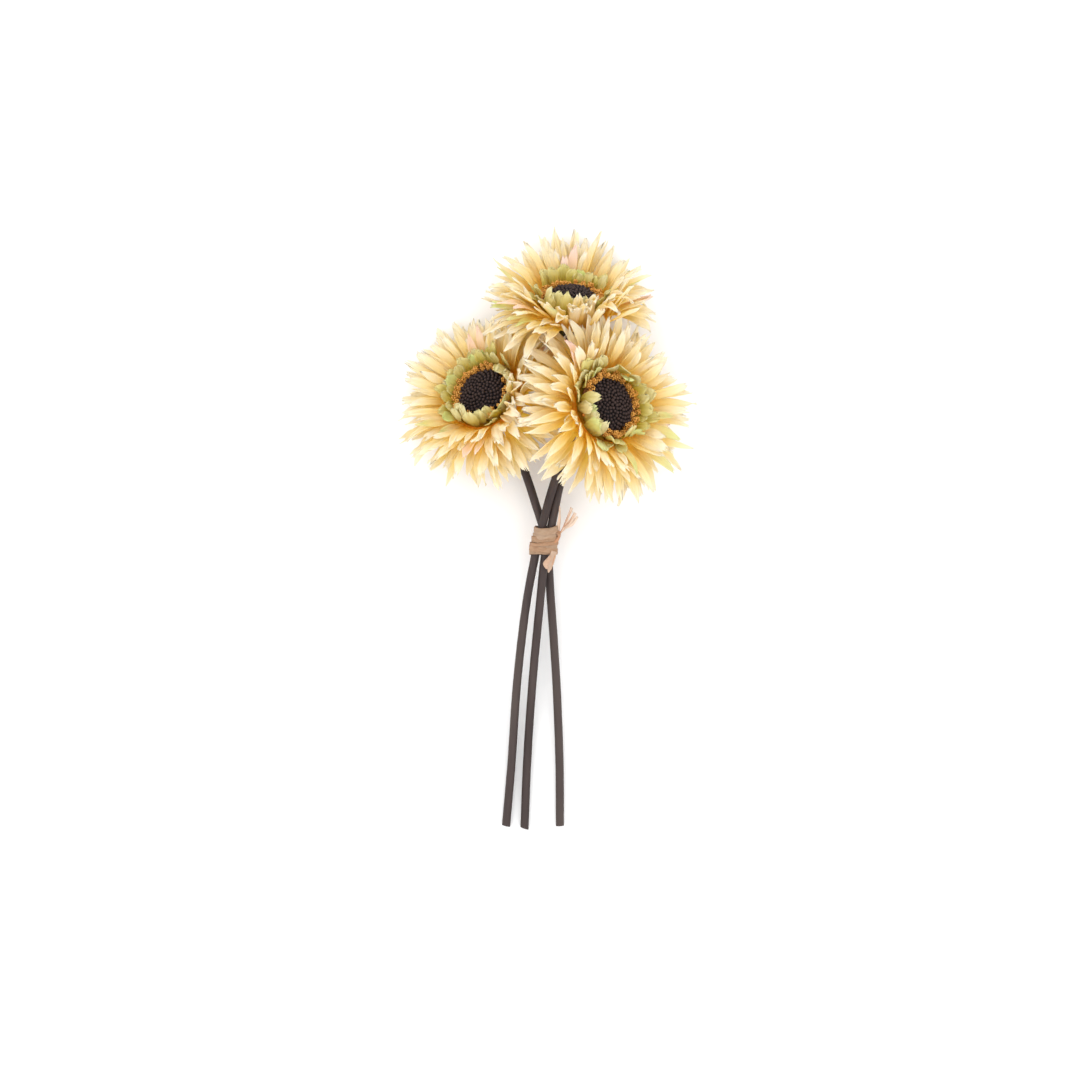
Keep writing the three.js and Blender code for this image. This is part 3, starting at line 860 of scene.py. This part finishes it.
def petal_layer(head, level, blades):
    """One die-cut layer. A petal's tint is its blush, its green cast, its paleness and its own number."""
    layer = LAYERS[level]
    parts = Parts()
    rng = np.random.default_rng(100 * HEADS.index(head) + level)
    fabric_ring(parts, head, level)
    for blade in filled_out(blades, BETWEEN, rng):
        middle, uvs = petal_points(blade, rng)
        fresh = float(layer["kind"] == "green" and rng.uniform() < 0.2)
        tint = (blade.get("blush", 0), blade.get("greenish", fresh),
                min(blade.get("pale", 0) + 0.5 * blade["crumple"] + 0.4 * rng.uniform(0, 1) ** 2, 1),
                rng.uniform(0, 1))
        parts.add_sheet(from_head(head, middle)[:, ::-1], FABRIC, uvs[:, ::-1], tint)
    material = CREAM if layer["kind"] == "ray" else GREEN
    node = f"{layer['name']}_{head['name']}"
    show(f"{node}_fabric", parts.mesh(node, material), node)


# Petals with a pink blush or a green cast, by where their tips are seen from above
BLUSHED = [(-64, 72), (81.6, 73), (18, 125), (15, 115), (24, 182), (-32, 145), (-45, 42), (66, 143),
           (-36, 129)]
GREENISH = [(-67, 66), (-26, 128), (66, 159), (-34, 137), (64, 38), (75, 38), (88, 59), (-25, 162), (8, 135)]

LAYER_BLADES = {(head["name"], level): blades_of(head, level)
                for head in HEADS for level in range(len(LAYERS))}
RAYS = [blade for blades in LAYER_BLADES.values() for blade in blades if blade["kind"] == "ray"]
RAY_TIPS = np.array([from_head(blade["head"], tip_of(blade)) for blade in RAYS])
for marks, cast in ((BLUSHED, "blush"), (GREENISH, "greenish")):
    for mark in marks:
        apart = np.linalg.norm(RAY_TIPS[:, :2] - np.array(mark), axis=1) - 0.1 * RAY_TIPS[:, 2]
        RAYS[int(apart.argmin())][cast] = 1.0
for blade in RAYS:
    if blade["level"] == 0:
        blade["pale"] = 0.5

for head in HEADS:
    for level in range(len(LAYERS)):
        petal_layer(head, level, LAYER_BLADES[head["name"], level])


# ---------------------------------------------------------------- seed discs, stamens and calyxes

def seed_tree():
    """Beads in a sunflower spiral over a dome."""
    tree, bench, size = new_tree("seed spiral", {
        "Disc radius": DISC_RADIUS, "Edge height": DISC_EDGE, "Dome height": DISC_RISE,
        "Spacing": SEED_SPACING, "Bead radius": 1.14, "Beads": 160, "Seed": 1, "Finish": SEED})
    index = bench.node("GeometryNodeInputIndex", {}, {})
    order = index + 0.5
    radius = size["Spacing"] * order ** 0.5
    turn = order * GOLDEN_ANGLE + bench.random(-0.02, 0.02, index, size["Seed"] + 5.0)
    share = radius / size["Disc radius"]
    dome = (1.0 - share * share).clipped() ** 0.5
    bob = bench.random(-0.3, 0.3, index, size["Seed"])
    height = size["Edge height"] + size["Dome height"] * dome + bob
    place = bench.vector(radius * turn.cosine(), radius * turn.sine(), height)
    cloud = bench.node("GeometryNodePoints", {}, {"Count": size["Beads"], "Position": place})
    cloud = bench.node("GeometryNodeStoreNamedAttribute", {"data_type": "FLOAT", "domain": "POINT"},
                       {"Geometry": cloud, "Name": "own number", "Value": bench.random(0.0, 1.0, index, 11)})
    bead = bench.node("GeometryNodeMeshUVSphere", {}, {
        "Segments": 10, "Rings": 8, "Radius": size["Bead radius"]})
    lean = bench.vector(0.0, share * 0.9, turn)
    grown = bench.node("GeometryNodeInstanceOnPoints", {}, {
        "Points": cloud, "Instance": bead, "Rotation": lean,
        "Scale": bench.random(0.86, 1.1, index, size["Seed"] + 3.0)})
    end_tree(bench, grown, size["Finish"])
    return tree


def stamen_tree():
    """A ring of upright clusters, each a little column of beads in a spiral."""
    tree, bench, size = new_tree("stamen clusters", {
        "Ring radius": STAMEN_CIRCLE, "Ring spread": 2.3, "Clusters": 58, "Beads in a cluster": 26,
        "Cluster radius": 1.35, "Height": 5.0, "Bead radius": 0.48, "Seed": 1, "Finish": STAMEN})
    index = bench.node("GeometryNodeInputIndex", {}, {})
    number = size["Beads in a cluster"]
    cluster = (index / number + 0.0001).floor()
    order = index - cluster * number
    azimuth = (cluster + bench.random(-0.6, 0.6, cluster, size["Seed"])) / size["Clusters"] * 2 * math.pi
    stagger = (cluster % 2 - 0.5) * 2
    astray = bench.random(-0.45, 0.45, cluster, size["Seed"] + 8.0)
    ring = size["Ring radius"] + (stagger * 0.5 + astray) * size["Ring spread"]
    tall = size["Height"] * bench.random(0.55, 1.2, cluster, size["Seed"] + 1.0)
    share = (order + 0.5) / number
    waist = (share * math.pi * 0.92).sine() ** 0.5
    wind = order * GOLDEN_ANGLE + cluster
    plump = bench.random(0.7, 1.2, cluster, size["Seed"] + 9.0)
    spread = size["Cluster radius"] * plump * waist * bench.random(0.75, 1.2, index, size["Seed"] + 2.0)
    lean = bench.random(-0.5, 0.9, cluster, size["Seed"] + 4.0) * share
    outward = ring + spread * wind.cosine() + lean
    sideways = spread * wind.sine()
    x = outward * azimuth.cosine() - sideways * azimuth.sine()
    y = outward * azimuth.sine() + sideways * azimuth.cosine()
    place = bench.vector(x, y, 0.3 + tall * share)
    cloud = bench.node("GeometryNodePoints", {}, {"Count": size["Clusters"] * number, "Position": place})
    # Painted light: beads higher up a cluster are lighter and the low ones darker, with some tone at random
    painted_height_light_and_tone = share * 0.7 + bench.random(0.0, 0.3, index, size["Seed"] + 6.0)
    cloud = bench.node("GeometryNodeStoreNamedAttribute", {"data_type": "FLOAT", "domain": "POINT"},
                       {"Geometry": cloud, "Name": "own number", "Value": painted_height_light_and_tone})
    bead = bench.node("GeometryNodeMeshUVSphere", {}, {
        "Segments": 7, "Rings": 5, "Radius": size["Bead radius"]})
    grown = bench.node("GeometryNodeInstanceOnPoints", {}, {
        "Points": cloud, "Instance": bead, "Scale": bench.random(0.75, 1.25, index, size["Seed"] + 5.0)})
    end_tree(bench, grown, size["Finish"])
    return tree


def sweep_tree():
    """A round stem along a curve, with a slightly uneven skin and closed ends."""
    tree, bench, size = new_tree("stem sweep", {
        "Stem radius": 2.55, "Unevenness": 0.1, "Rings": 260, "Sides": 24, "Finish": STEM})
    entry = next(node for node in tree.nodes if node.bl_idname == "NodeGroupInput")
    route = bench.node("GeometryNodeResampleCurve", {}, {
        "Curve": Wire(bench, entry.outputs[0]), "Count": size["Rings"]})
    section = bench.node("GeometryNodeCurvePrimitiveCircle", {"mode": "RADIUS"}, {
        "Resolution": size["Sides"], "Radius": size["Stem radius"]})
    body = bench.node("GeometryNodeCurveToMesh", {}, {
        "Curve": route, "Profile Curve": section, "Fill Caps": True})
    place = bench.node("GeometryNodeInputPosition", {}, {})
    wide = bench.node("ShaderNodeVectorMath", {"operation": "MULTIPLY"}, [place, (0.5, 0.12, 0.5)])
    lumps = bench.node("ShaderNodeTexNoise", {}, {"Vector": wide, "Scale": 1.0, "Detail": 2.0})
    facing = bench.node("GeometryNodeInputNormal", {}, {})
    push = bench.node("ShaderNodeVectorMath", {"operation": "SCALE"}, {
        0: facing, "Scale": (lumps - 0.5) * 2 * size["Unevenness"]})
    body = bench.node("GeometryNodeSetPosition", {}, {"Geometry": body, "Offset": push})
    end_tree(bench, body, size["Finish"])
    return tree


def smooth_all(mesh):
    """Smooth shading on all but the many-sided caps."""
    mesh.polygons.foreach_set("use_smooth", np.array([len(face.vertices) <= 4 for face in mesh.polygons]))
    mesh.update()


def tone_and_painted_light_as_tint(mesh, share):
    """A colour for the finish to read: each bead's own number, and for a share of it how much each
    point of the bead faces out of the head, a painted highlight on the beads' tops and painted shade on
    their sides and in the gaps. Before the head's matrix."""
    own = np.zeros(len(mesh.vertices), np.float32)
    mesh.attributes["own number"].data.foreach_get("value", own)
    normals = np.zeros(len(mesh.vertices) * 3, np.float32)
    mesh.vertex_normals.foreach_get("vector", normals)
    # Painted light: points that face out of the head are lighter, the beads' sides darker
    facing = np.clip(normals.reshape(-1, 3)[:, 2], 0, 1) ** 2.2
    tint = mesh.color_attributes.new("tint", "FLOAT_COLOR", "POINT")
    tint.data.foreach_set("color", np.repeat((1 - share) * own + share * facing, 4).astype(np.float32))
    mesh.attributes.remove(mesh.attributes["own number"])


def turned(profile, sides, squash=None):
    """A closed shape turned round the axis, from a profile of radius and height that starts and ends
    on it."""
    turn = np.linspace(0, 2 * math.pi, sides, endpoint=False)[:, None]
    profile = np.array(profile, float)
    radius = np.maximum(profile[None, :, 0], 0.001)
    if squash is not None:
        radius = radius * squash(turn)
    points = np.stack(np.broadcast_arrays(radius * np.cos(turn), radius * np.sin(turn),
                                          profile[None, :, 1]), axis=2)
    faces = grid_faces(sides, len(profile), 0, closed=True)
    return points, faces


def dome_height(radius, disc):
    return DISC_EDGE + DISC_RISE * math.sqrt(max(1 - (radius / disc) ** 2, 0))


def seed_disc(head):
    """A dark dome under a spiral of beads."""
    disc = DISC_RADIUS * head["size"]
    beads = int((disc / SEED_SPACING) ** 2 * 0.98)
    mesh = grow("seed_beads", SEED_TREE, {"Disc radius": disc, "Beads": beads, "Seed": HEADS.index(head)})
    tone_and_painted_light_as_tint(mesh, 0.7)
    mesh.transform(head_matrix(head))
    smooth_all(mesh)
    parts = Parts()
    profile = [(0, 0.05), (disc, 0.05)]
    for share in (1, 0.95, 0.88, 0.78, 0.66, 0.5, 0.34, 0.17, 0):
        profile.append((disc * share, dome_height(disc * share, disc) - 0.5))
    points, faces = turned(profile, 48)
    # The dome carries no tint, so it takes the finish's blue-black: the disc's own near-black, darkened into
    # painted shade between the beads
    parts.add_plain(from_head(head, points), faces)
    dome = parts.mesh("seed_dome", SEED)
    welded(f"seed_disc_{head['name']}_beads", [dome, mesh], f"seed_disc_{head['name']}")


def welded(name, meshes, node):
    """Several meshes as one piece."""
    holders = [bpy.data.objects.new(name, mesh) for mesh in meshes]
    for holder in holders:
        bpy.context.scene.collection.objects.link(holder)
    with bpy.context.temp_override(active_object=holders[0], selected_editable_objects=holders):
        bpy.ops.object.join()
    mesh = holders[0].data
    bpy.data.objects.remove(holders[0])
    while len(mesh.materials) > 1:
        mesh.materials.pop()
    mesh.polygons.foreach_set("material_index", np.zeros(len(mesh.polygons), int))
    show(name, mesh, node)


def stamens(head):
    """Clusters of gold beads standing on a flat ring."""
    mesh = grow("stamen_beads", STAMEN_TREE, {
        "Ring radius": STAMEN_CIRCLE * head["size"], "Seed": 7 + HEADS.index(head)})
    tone_and_painted_light_as_tint(mesh, 0.5)
    mesh.transform(head_matrix(head))
    smooth_all(mesh)
    base = Parts()
    inner = (STAMEN_CIRCLE - 1.5) * head["size"]
    outer = (STAMEN_CIRCLE + 1.5) * head["size"]
    turn = np.linspace(0, 2 * math.pi, 96, endpoint=False)[:, None]
    loop = np.array([(inner, 0.05), (outer, 0.05), (outer, 1.1), (inner, 1.1), (inner, 0.05)])
    points = np.stack(np.broadcast_arrays(loop[None, :, 0] * np.cos(turn), loop[None, :, 0] * np.sin(turn),
                                          loop[None, :, 1]), axis=2)
    faces = grid_faces(96, 5, 0, closed=True)
    # The ring carries no tint, so it takes the finish's darkest colour, painted shade under the clusters
    base.add_plain(from_head(head, points), faces, flat=True)
    name = f"stamen_ring_{head['name']}"
    welded(f"{name}_clusters", [base.mesh("stamen_base", STAMEN), mesh], name)


def ribbed(turn):
    """How the cup's radius swells at its ribs."""
    return 1 + 0.018 * np.cos(turn * 14)


def calyx(head):
    """A ribbed cup with a socket for the stem, and pointed sepals."""
    parts = Parts()
    outside = [(0, SOCKET_END), (SOCKET_RADIUS, SOCKET_END), (SOCKET_RADIUS, CALYX_END), (4.1, CALYX_END),
               (4.7, -18.4), (5.6, -17.2), (6.6, -15.8), (8.2, -13.9), (9.8, -12.2), (10.9, -10.9),
               (11.4, -9.6), (CALYX_RADIUS, CALYX_TOP), (POST_RADIUS, CALYX_TOP), (POST_RADIUS, -GAP),
               (0, -GAP)]
    points, faces = turned(outside, 56, ribbed)
    parts.add_plain(from_head(head, points), faces)
    rng = np.random.default_rng(40 + HEADS.index(head))
    for index in range(SEPALS):
        sepal = {"kind": "ray", "azimuth": index * 360 / SEPALS, "width": 8.2,
                 "length": 11 + 2 * chance(7, index), "rim": CALYX_RADIUS - 1.2, "height": -10.2,
                 "rise": -16, "droop": 20, "sway": 0, "curl": 6, "crumple": -0.1}
        middle, uvs = petal_points(sepal, rng)
        parts.add_sheet(from_head(head, middle)[:, ::-1], SEPAL_THICKNESS, uvs[:, ::-1], (0, 0, 0, 0))
    name = f"calyx_{head['name']}"
    show(f"{name}_cup", parts.mesh(name, CALYX), name)


def stem(head):
    """A coated wire stem along its route, cut a little slantwise."""
    line = in_metres(STEM_LINES[head["name"]]) * 1000
    curve = bpy.data.curves.new("route", "CURVE")
    curve.dimensions = "3D"
    spline = curve.splines.new("POLY")
    spline.points.add(len(line) - 1)
    spline.points.foreach_set("co", np.column_stack([line, np.ones(len(line))]).ravel())
    mesh = grow("stem_body", STEM_TREE, {}, curve)
    places = np.zeros(len(mesh.vertices) * 3, np.float32)
    mesh.vertices.foreach_get("co", places)
    places = places.reshape(-1, 3)
    cut = line[0]
    near = np.clip(1 - (places[:, 1] - cut[1]) / CUT_REACH, 0, 1)
    places[:, 1] += near * CUT_LEAN[head["name"]] * (places[:, 0] - cut[0])
    mesh.vertices.foreach_set("co", places.ravel())
    mesh.transform(Matrix.Scale(0.001, 4))
    smooth_all(mesh)
    name = f"stem_{head['name']}"
    show(f"{name}_coated", mesh, name)


SEED_TREE = seed_tree()
STAMEN_TREE = stamen_tree()
STEM_TREE = sweep_tree()
for head in HEADS:
    seed_disc(head)
    stamens(head)
    calyx(head)
    stem(head)


# ---------------------------------------------------------------- tie

TURN_STEPS = 110


def cord_round_stems(y, offset, count):
    """Points and outward directions of a loop pulled round the three stems, offset from their skins."""
    centres = [stem_at(name, y) for name in ("left", "top", "right")]
    points = []
    outs = []
    for i, centre in enumerate(centres):
        before = centres[(i + 2) % 3]
        after = centres[(i + 1) % 3]
        start = math.atan2(centre[1] - before[1], centre[0] - before[0]) - math.pi / 2
        end = math.atan2(after[1] - centre[1], after[0] - centre[0]) - math.pi / 2
        end = start + (end - start) % (2 * math.pi)
        for angle in np.linspace(start, end, 24):
            out = np.array([math.cos(angle), math.sin(angle)])
            points.append(centre + out * (STEM_RADIUS + offset))
            outs.append(out)
    points = np.array(points + points[:1])
    outs = np.array(outs + outs[:1])
    walked = np.concatenate([[0], np.cumsum(np.linalg.norm(np.diff(points, axis=0), axis=1))])
    even = np.linspace(0, walked[-1], count, endpoint=False)
    points = np.stack([np.interp(even, walked, points[:, k]) for k in (0, 1)], axis=1)
    outs = np.stack([np.interp(even, walked, outs[:, k]) for k in (0, 1)], axis=1)
    return points, outs / np.linalg.norm(outs, axis=1, keepdims=True), walked[-1]


def band_strip(parts, y, width, offset, slope, rng, tint, sag=0.0, slack=0.0):
    """One turn of raffia round the stems. sag is how far it hangs in the middle of its front, and
    slack is how far it stands off the stems on the knot's side."""
    points, outs, length = cord_round_stems(y, offset, TURN_STEPS)
    turn = np.linspace(0, 2 * math.pi, TURN_STEPS, endpoint=False)
    drift = 0.3 * np.sin(turn + rng.uniform(0, 6.3)) + 0.12 * np.sin(3 * turn + rng.uniform(0, 6.3))
    swell = 1 + 0.1 * np.sin(turn * 2 + rng.uniform(0, 6.3)) + 0.04 * np.sin(turn * 7 + rng.uniform(0, 6.3))
    v = np.linspace(-1, 1, 9)
    bulge = 0.16 * (1 - v ** 2) + 0.06 * np.cos(v * 7 + rng.uniform(0, 6.3))
    ruck = 0.07 * np.sin(turn[:, None] * 9 + v[None, :] * 4 + rng.uniform(0, 6.3))
    lift = bulge[None, :] + ruck
    loose = slack * np.clip(outs[:, 0], 0, 1)
    x = (points[:, 0] + loose)[:, None] + outs[:, 0][:, None] * lift
    z = points[:, 1][:, None] + outs[:, 1][:, None] * lift
    along_front = (points[:, 0] - points[:, 0].mean()) / np.ptp(points[:, 0]) * 2
    front = points[:, 1] > points[:, 1].mean()
    down = y + slope * (points[:, 0] - points[:, 0].mean()) + drift - sag * front * (1 - along_front ** 2)
    edge = down[:, None] + (width / 2 * swell)[:, None] * v[None, :]
    u = turn[:, None] / (2 * math.pi) * length / 12
    uvs = np.stack(np.broadcast_arrays((v + 1) / 2, u), axis=2)
    parts.add_sheet(np.stack([x, edge, z], axis=2), 0.3, uvs, tint, closed=True)


def tail_strip(parts, route, widths, normals, rng, tint, thickness=0.22, rows=26, ruck=0.08):
    """A strip of raffia along a route. widths and normals are given at each of its points."""
    line = smooth_curve(route, rows)
    share = np.linspace(0, 1, rows)
    stops = np.linspace(0, 1, len(route))
    half = np.interp(share, stops, widths)[:, None] / 2
    normal = np.stack([np.interp(share, stops, np.array(normals, float)[:, k]) for k in range(3)], axis=1)
    along = np.gradient(line, axis=0)
    along /= np.linalg.norm(along, axis=1, keepdims=True)
    side = np.cross(normal, along)
    side /= np.linalg.norm(side, axis=1, keepdims=True)
    face = np.cross(along, side)
    v = np.linspace(-1, 1, 7)[None, :]
    waves = share[:, None] * rng.uniform(5, 11) + rng.uniform(0, 6.3)
    lift = 0.12 * (1 - v ** 2) + ruck * np.sin(v * 5 + waves)
    middle = line[:, None, :] + side[:, None, :] * (half * v)[:, :, None]
    middle = middle + face[:, None, :] * lift[:, :, None]
    uvs = np.stack(np.broadcast_arrays((v + 1) / 2, share[:, None]), axis=2)
    parts.add_sheet(middle[:, ::-1], thickness, uvs[:, ::-1], tint)


def fibre(parts, route, radius, rng, tint):
    """A fine round fibre that tapers to its end."""
    rows = 14
    sides = 6
    line = smooth_curve(route, rows)
    along = np.gradient(line, axis=0)
    along /= np.linalg.norm(along, axis=1, keepdims=True)
    side = np.cross(along, np.array([0.0, 0.0, 1.0]))
    side /= np.linalg.norm(side, axis=1, keepdims=True)
    up = np.cross(side, along)
    turn = np.linspace(0, 2 * math.pi, sides)[None, :, None]
    size = (radius * np.linspace(1, 0.4, rows))[:, None, None]
    tube = line[:, None, :] + (side[:, None, :] * np.cos(turn) + up[:, None, :] * np.sin(turn)) * size
    start, end = np.repeat(line[[0, -1], None, :], sides, axis=1)
    tube = np.concatenate([start[None], tube, end[None]])
    faces = grid_faces(rows + 2, sides)[:, ::-1]
    uvs = np.full((tube.size // 3, 2), rng.uniform(0, 1))
    parts.add(tube, faces, np.zeros(len(faces)), uvs, tint)


def tint_of(rng, warm=0.0, pale=0.0):
    """A raffia strip's tint, with its own number last."""
    return (warm, 0, pale, rng.uniform(0, 1))


# The turns of each band: place along the bunch, width, offset from the stems, slope, warmth, paleness,
# sag in front, and slack on the knot's side
TURNS = {
    "low": [(-7.6, 2.6, 1.1, 0.0, 0, 0, 0, 1.6), (-5.9, 3.8, 1.5, -0.16, 0.15, 0, 0, 2.0)],
    "middle": [(-3.4, 3.2, 1.3, -0.03, 0, 0.1, 0.3, 2.0), (0.3, 3.8, 1.5, -0.04, 0.1, 0, 0.4, 1.7)],
    "high": [(3.0, 3.6, 1.4, 0.0, 0, 0.15, 0.8, 0.9), (6.6, 4.2, 1.75, -0.02, 0, 0.1, 1.9, 0.3)],
    "outer": [(-1.9, 2.2, 2.0, 0.1, 0.2, 0, 0.6, 1.6)],
}
# Split fibres that stand out of a band's left side: from, to and paleness
FRINGE = {
    "low": [((-4.2, -4.6, 17.6), (-5.6, -4.2, 18.6), 0.6), ((-4.3, -6.6, 17.2), (-5.3, -7.5, 17.8), 0.6),
            ((-4.2, -5.0, 18.4), (-5.5, -6.2, 19.4), 0.6)],
    "high": [((-4.2, 5.0, 17.8), (-5.4, 6.4, 18.4), 0.7), ((-4.3, 4.4, 17.2), (-5.0, 3.0, 17.8), 0.7)],
}
# The knot's strands: route, widths and warmth
STRANDS = [
    ([(12.0, 5.4, 19.6), (12.0, 3.4, 20.2), (11.0, 1.0, 20.8), (9.7, -0.8, 21.4), (8.4, -1.9, 22.0)],
     [0.9, 1.3, 1.7, 1.7, 0.8], 0.85),
    ([(11.0, 5.6, 20.4), (11.3, 3.4, 20.9), (11.2, 1.2, 19.8), (10.3, -1.0, 19.2), (9.6, -3.0, 19.6)],
     [1.1, 1.3, 1.5, 1.6, 1.2], 0.65),
    ([(9.3, 4.6, 21.4), (10.8, 3.7, 21.3), (11.9, 2.8, 20.2), (11.3, 1.8, 18.8)],
     [0.9, 1.2, 1.2, 0.8], 0.4),
    ([(12.6, 4.6, 19.8), (11.6, 3.0, 19.2), (11.0, 1.4, 18.4), (10.2, -0.6, 17.8)],
     [0.8, 1.2, 1.4, 1.4], 0.5),
]
# The frayed tail's films, as bend, end, width and warmth, and its ribs, as bend and end
FILMS = [((16.6, 12.0, 21.4), (19.4, 19.4, 22.6), 1.1, 0.35),
         ((18.2, 10.6, 21.3), (21.4, 16.4, 22.3), 1.4, 0.2),
         ((19.2, 9.2, 21.2), (22.6, 14.2, 22.0), 1.2, 0.1)]
RIBS = [((15.6, 12.2, 21.5), (18.7, 20.1, 22.8)), ((17.7, 11.5, 21.6), (20.4, 15.8, 22.4)),
        ((16.0, 11.4, 21.6), (19.2, 18.0, 22.7)), ((17.4, 10.2, 21.5), (20.8, 14.6, 22.3))]
FRAYED_FIBRES = 18


def show_raffia(node, parts):
    show(f"{node}_raffia", parts.mesh(node, RAFFIA), node)


def bands(rng):
    made = {name: Parts() for name in TURNS}
    for name, turns in TURNS.items():
        for y, width, offset, slope, warm, pale, sag, slack in turns:
            band_strip(made[name], y, width, offset, slope, rng, tint_of(rng, warm, pale), sag, slack)
    for name, fringe in FRINGE.items():
        for start, end, pale in fringe:
            bow = (np.array(start) + np.array(end)) / 2 + rng.uniform(-0.2, 0.2, 3)
            fibre(made[name], [start, bow, end], 0.1, rng, tint_of(rng, 0.1, pale))
    for name, parts in made.items():
        show_raffia(f"tie_band_{name}", parts)


def knot(rng):
    parts = Parts()
    for route, widths, warm in STRANDS:
        tail_strip(parts, route, widths, [(0.6, 0.1, 1)] * len(route), rng, tint_of(rng, warm, 0.1),
                   thickness=0.36, rows=16, ruck=0.14)
    show_raffia("tie_knot", parts)


def folded_tail(rng):
    """A strip that hangs from the knot, a flap folded back over it, and one loose fibre."""
    parts = Parts()
    tail_strip(parts, [(8.6, -6.8, 22.4), (7.7, -10, 23.0), (6.7, -13.4, 23.1), (5.8, -16.6, 22.5),
                       (5.1, -19.8, 21.4)],
               [3.4, 3.9, 3.9, 3.0, 0.7], [(0.2, 0, 1)] * 5, rng, tint_of(rng, 0.1, 0.4))
    tail_strip(parts, [(6.2, -9.4, 23.3), (5.2, -12.0, 23.6), (3.4, -14.4, 23.5), (4.4, -17.4, 22.9)],
               [1.2, 3.0, 3.2, 1.6], [(-0.3, 0, 1)] * 4, rng, tint_of(rng, 0.5, 0.35))
    fibre(parts, [(9.0, -9.4, 23.4), (7.6, -14.2, 23.6), (7.0, -18.4, 22.4)], 0.2, rng, tint_of(rng, 0.8))
    show_raffia("tie_tail_folded", parts)


def straight_tail(rng):
    parts = Parts()
    normals = [(0.1, 0, 1), (-0.3, 0, 1), (0.3, 0, 1), (0, 0, 1)]
    tail_strip(parts, [(11.0, 4.4, 20.0), (11.1, 7.7, 20.2), (11.8, 13.2, 21.2), (11.9, 20.6, 22)],
               [1.2, 2.2, 1.7, 0.4], normals, rng, tint_of(rng, 0.75, 0.75))
    fibre(parts, [(11.4, 4.4, 20.6), (12.1, 9, 20.9), (12.2, 15, 21.6)], 0.14, rng, tint_of(rng, 0.9, 0.2))
    show_raffia("tie_tail_straight", parts)


def frayed_tail(rng):
    """Thin films with ribs between them, and fine fibres fanned over both."""
    parts = Parts()
    for bend, end, width, warm in FILMS:
        tail_strip(parts, [(12.4, 3.8, 19.9), (14.4, 6.8, 20.6), bend, end],
                   [0.5, width * 0.8, width * 1.5, width * 1.3],
                   [(0, 0, 1)] * 4, rng, tint_of(rng, warm, 1.0), thickness=0.14)
    for bend, end in RIBS:
        fibre(parts, [(12.2, 3.8, 20.1), (13.6, 7.0, 20.8), bend, end], 0.24, rng, tint_of(rng, 0.95, 0.1))
    for index in range(FRAYED_FIBRES):
        share = index / (FRAYED_FIBRES - 1)
        end = np.array([18.8 + 3.8 * share, 20.0 - 5.6 * share, 22.4 + rng.uniform(-1, 0.6)])
        end += rng.uniform(-0.6, 0.6, 3)
        bow = np.array([12.4, 3.8, 20.2]) * 0.5 + end * 0.5 + rng.uniform(-0.5, 0.5, 3)
        fibre(parts, [(12.4, 3.8, 20.1), bow, end], 0.09, rng, tint_of(rng, rng.uniform(0.2, 0.9), 0.6))
    show_raffia("tie_tail_frayed", parts)


tie_draws = np.random.default_rng(5)
for make in (bands, knot, folded_tail, straight_tail, frayed_tail):
    make(tie_draws)


# ---------------------------------------------------------------- floor, light and camera

def plain_stage():
    mesh = bpy.data.meshes.new("table")
    reach = 6.0
    mesh.from_pydata([(-reach, -reach, 0), (reach, -reach, 0), (reach, reach, 0), (-reach, reach, 0)], [],
                     [(0, 1, 2, 3)])
    material, _, shader = new_material("white table", 0.9, 0.1)
    shader.inputs["Base Color"].default_value = (0.93, 0.93, 0.93, 1)
    mesh.materials.append(material)
    table = bpy.data.objects.new("table", mesh)
    bpy.context.scene.collection.objects.link(table)


def soft_box(name, place, size, power, colour):
    """A square light that faces the bunch."""
    light = bpy.data.lights.new(name, "AREA")
    light.shape = "SQUARE"
    light.size = size
    light.energy = power
    light.color = colour
    box = bpy.data.objects.new(name, light)
    box.location = place
    box.rotation_euler = (-box.location).to_track_quat("-Z", "Y").to_euler()
    bpy.context.scene.collection.objects.link(box)


def studio():
    world = bpy.data.worlds.new("studio")
    world.use_nodes = True
    background = world.node_tree.nodes["Background"]
    background.inputs["Color"].default_value = (1.0, 1.0, 1.0, 1)
    background.inputs["Strength"].default_value = 1.5
    bpy.context.scene.world = world
    soft_box("key light", (-0.9, 0.5, 1.7), 1.2, 3.8, (1.0, 0.98, 0.95))
    soft_box("fill light", (1.3, -0.6, 1.4), 1.4, 3, (0.98, 0.99, 1.0))


def camera():
    """A long lens that looks straight down."""
    lens = bpy.data.cameras.new("camera")
    lens.sensor_width = 36
    lens.lens = 100
    lens.clip_end = 20
    holder = bpy.data.objects.new("camera", lens)
    centre = in_metres((0, 0, 40))
    holder.location = (centre[0], centre[1], centre[2] + 1.8)
    bpy.context.scene.collection.objects.link(holder)
    bpy.context.scene.camera = holder


plain_stage()
studio()
camera()
bpy.context.scene.view_settings.view_transform = "Standard"
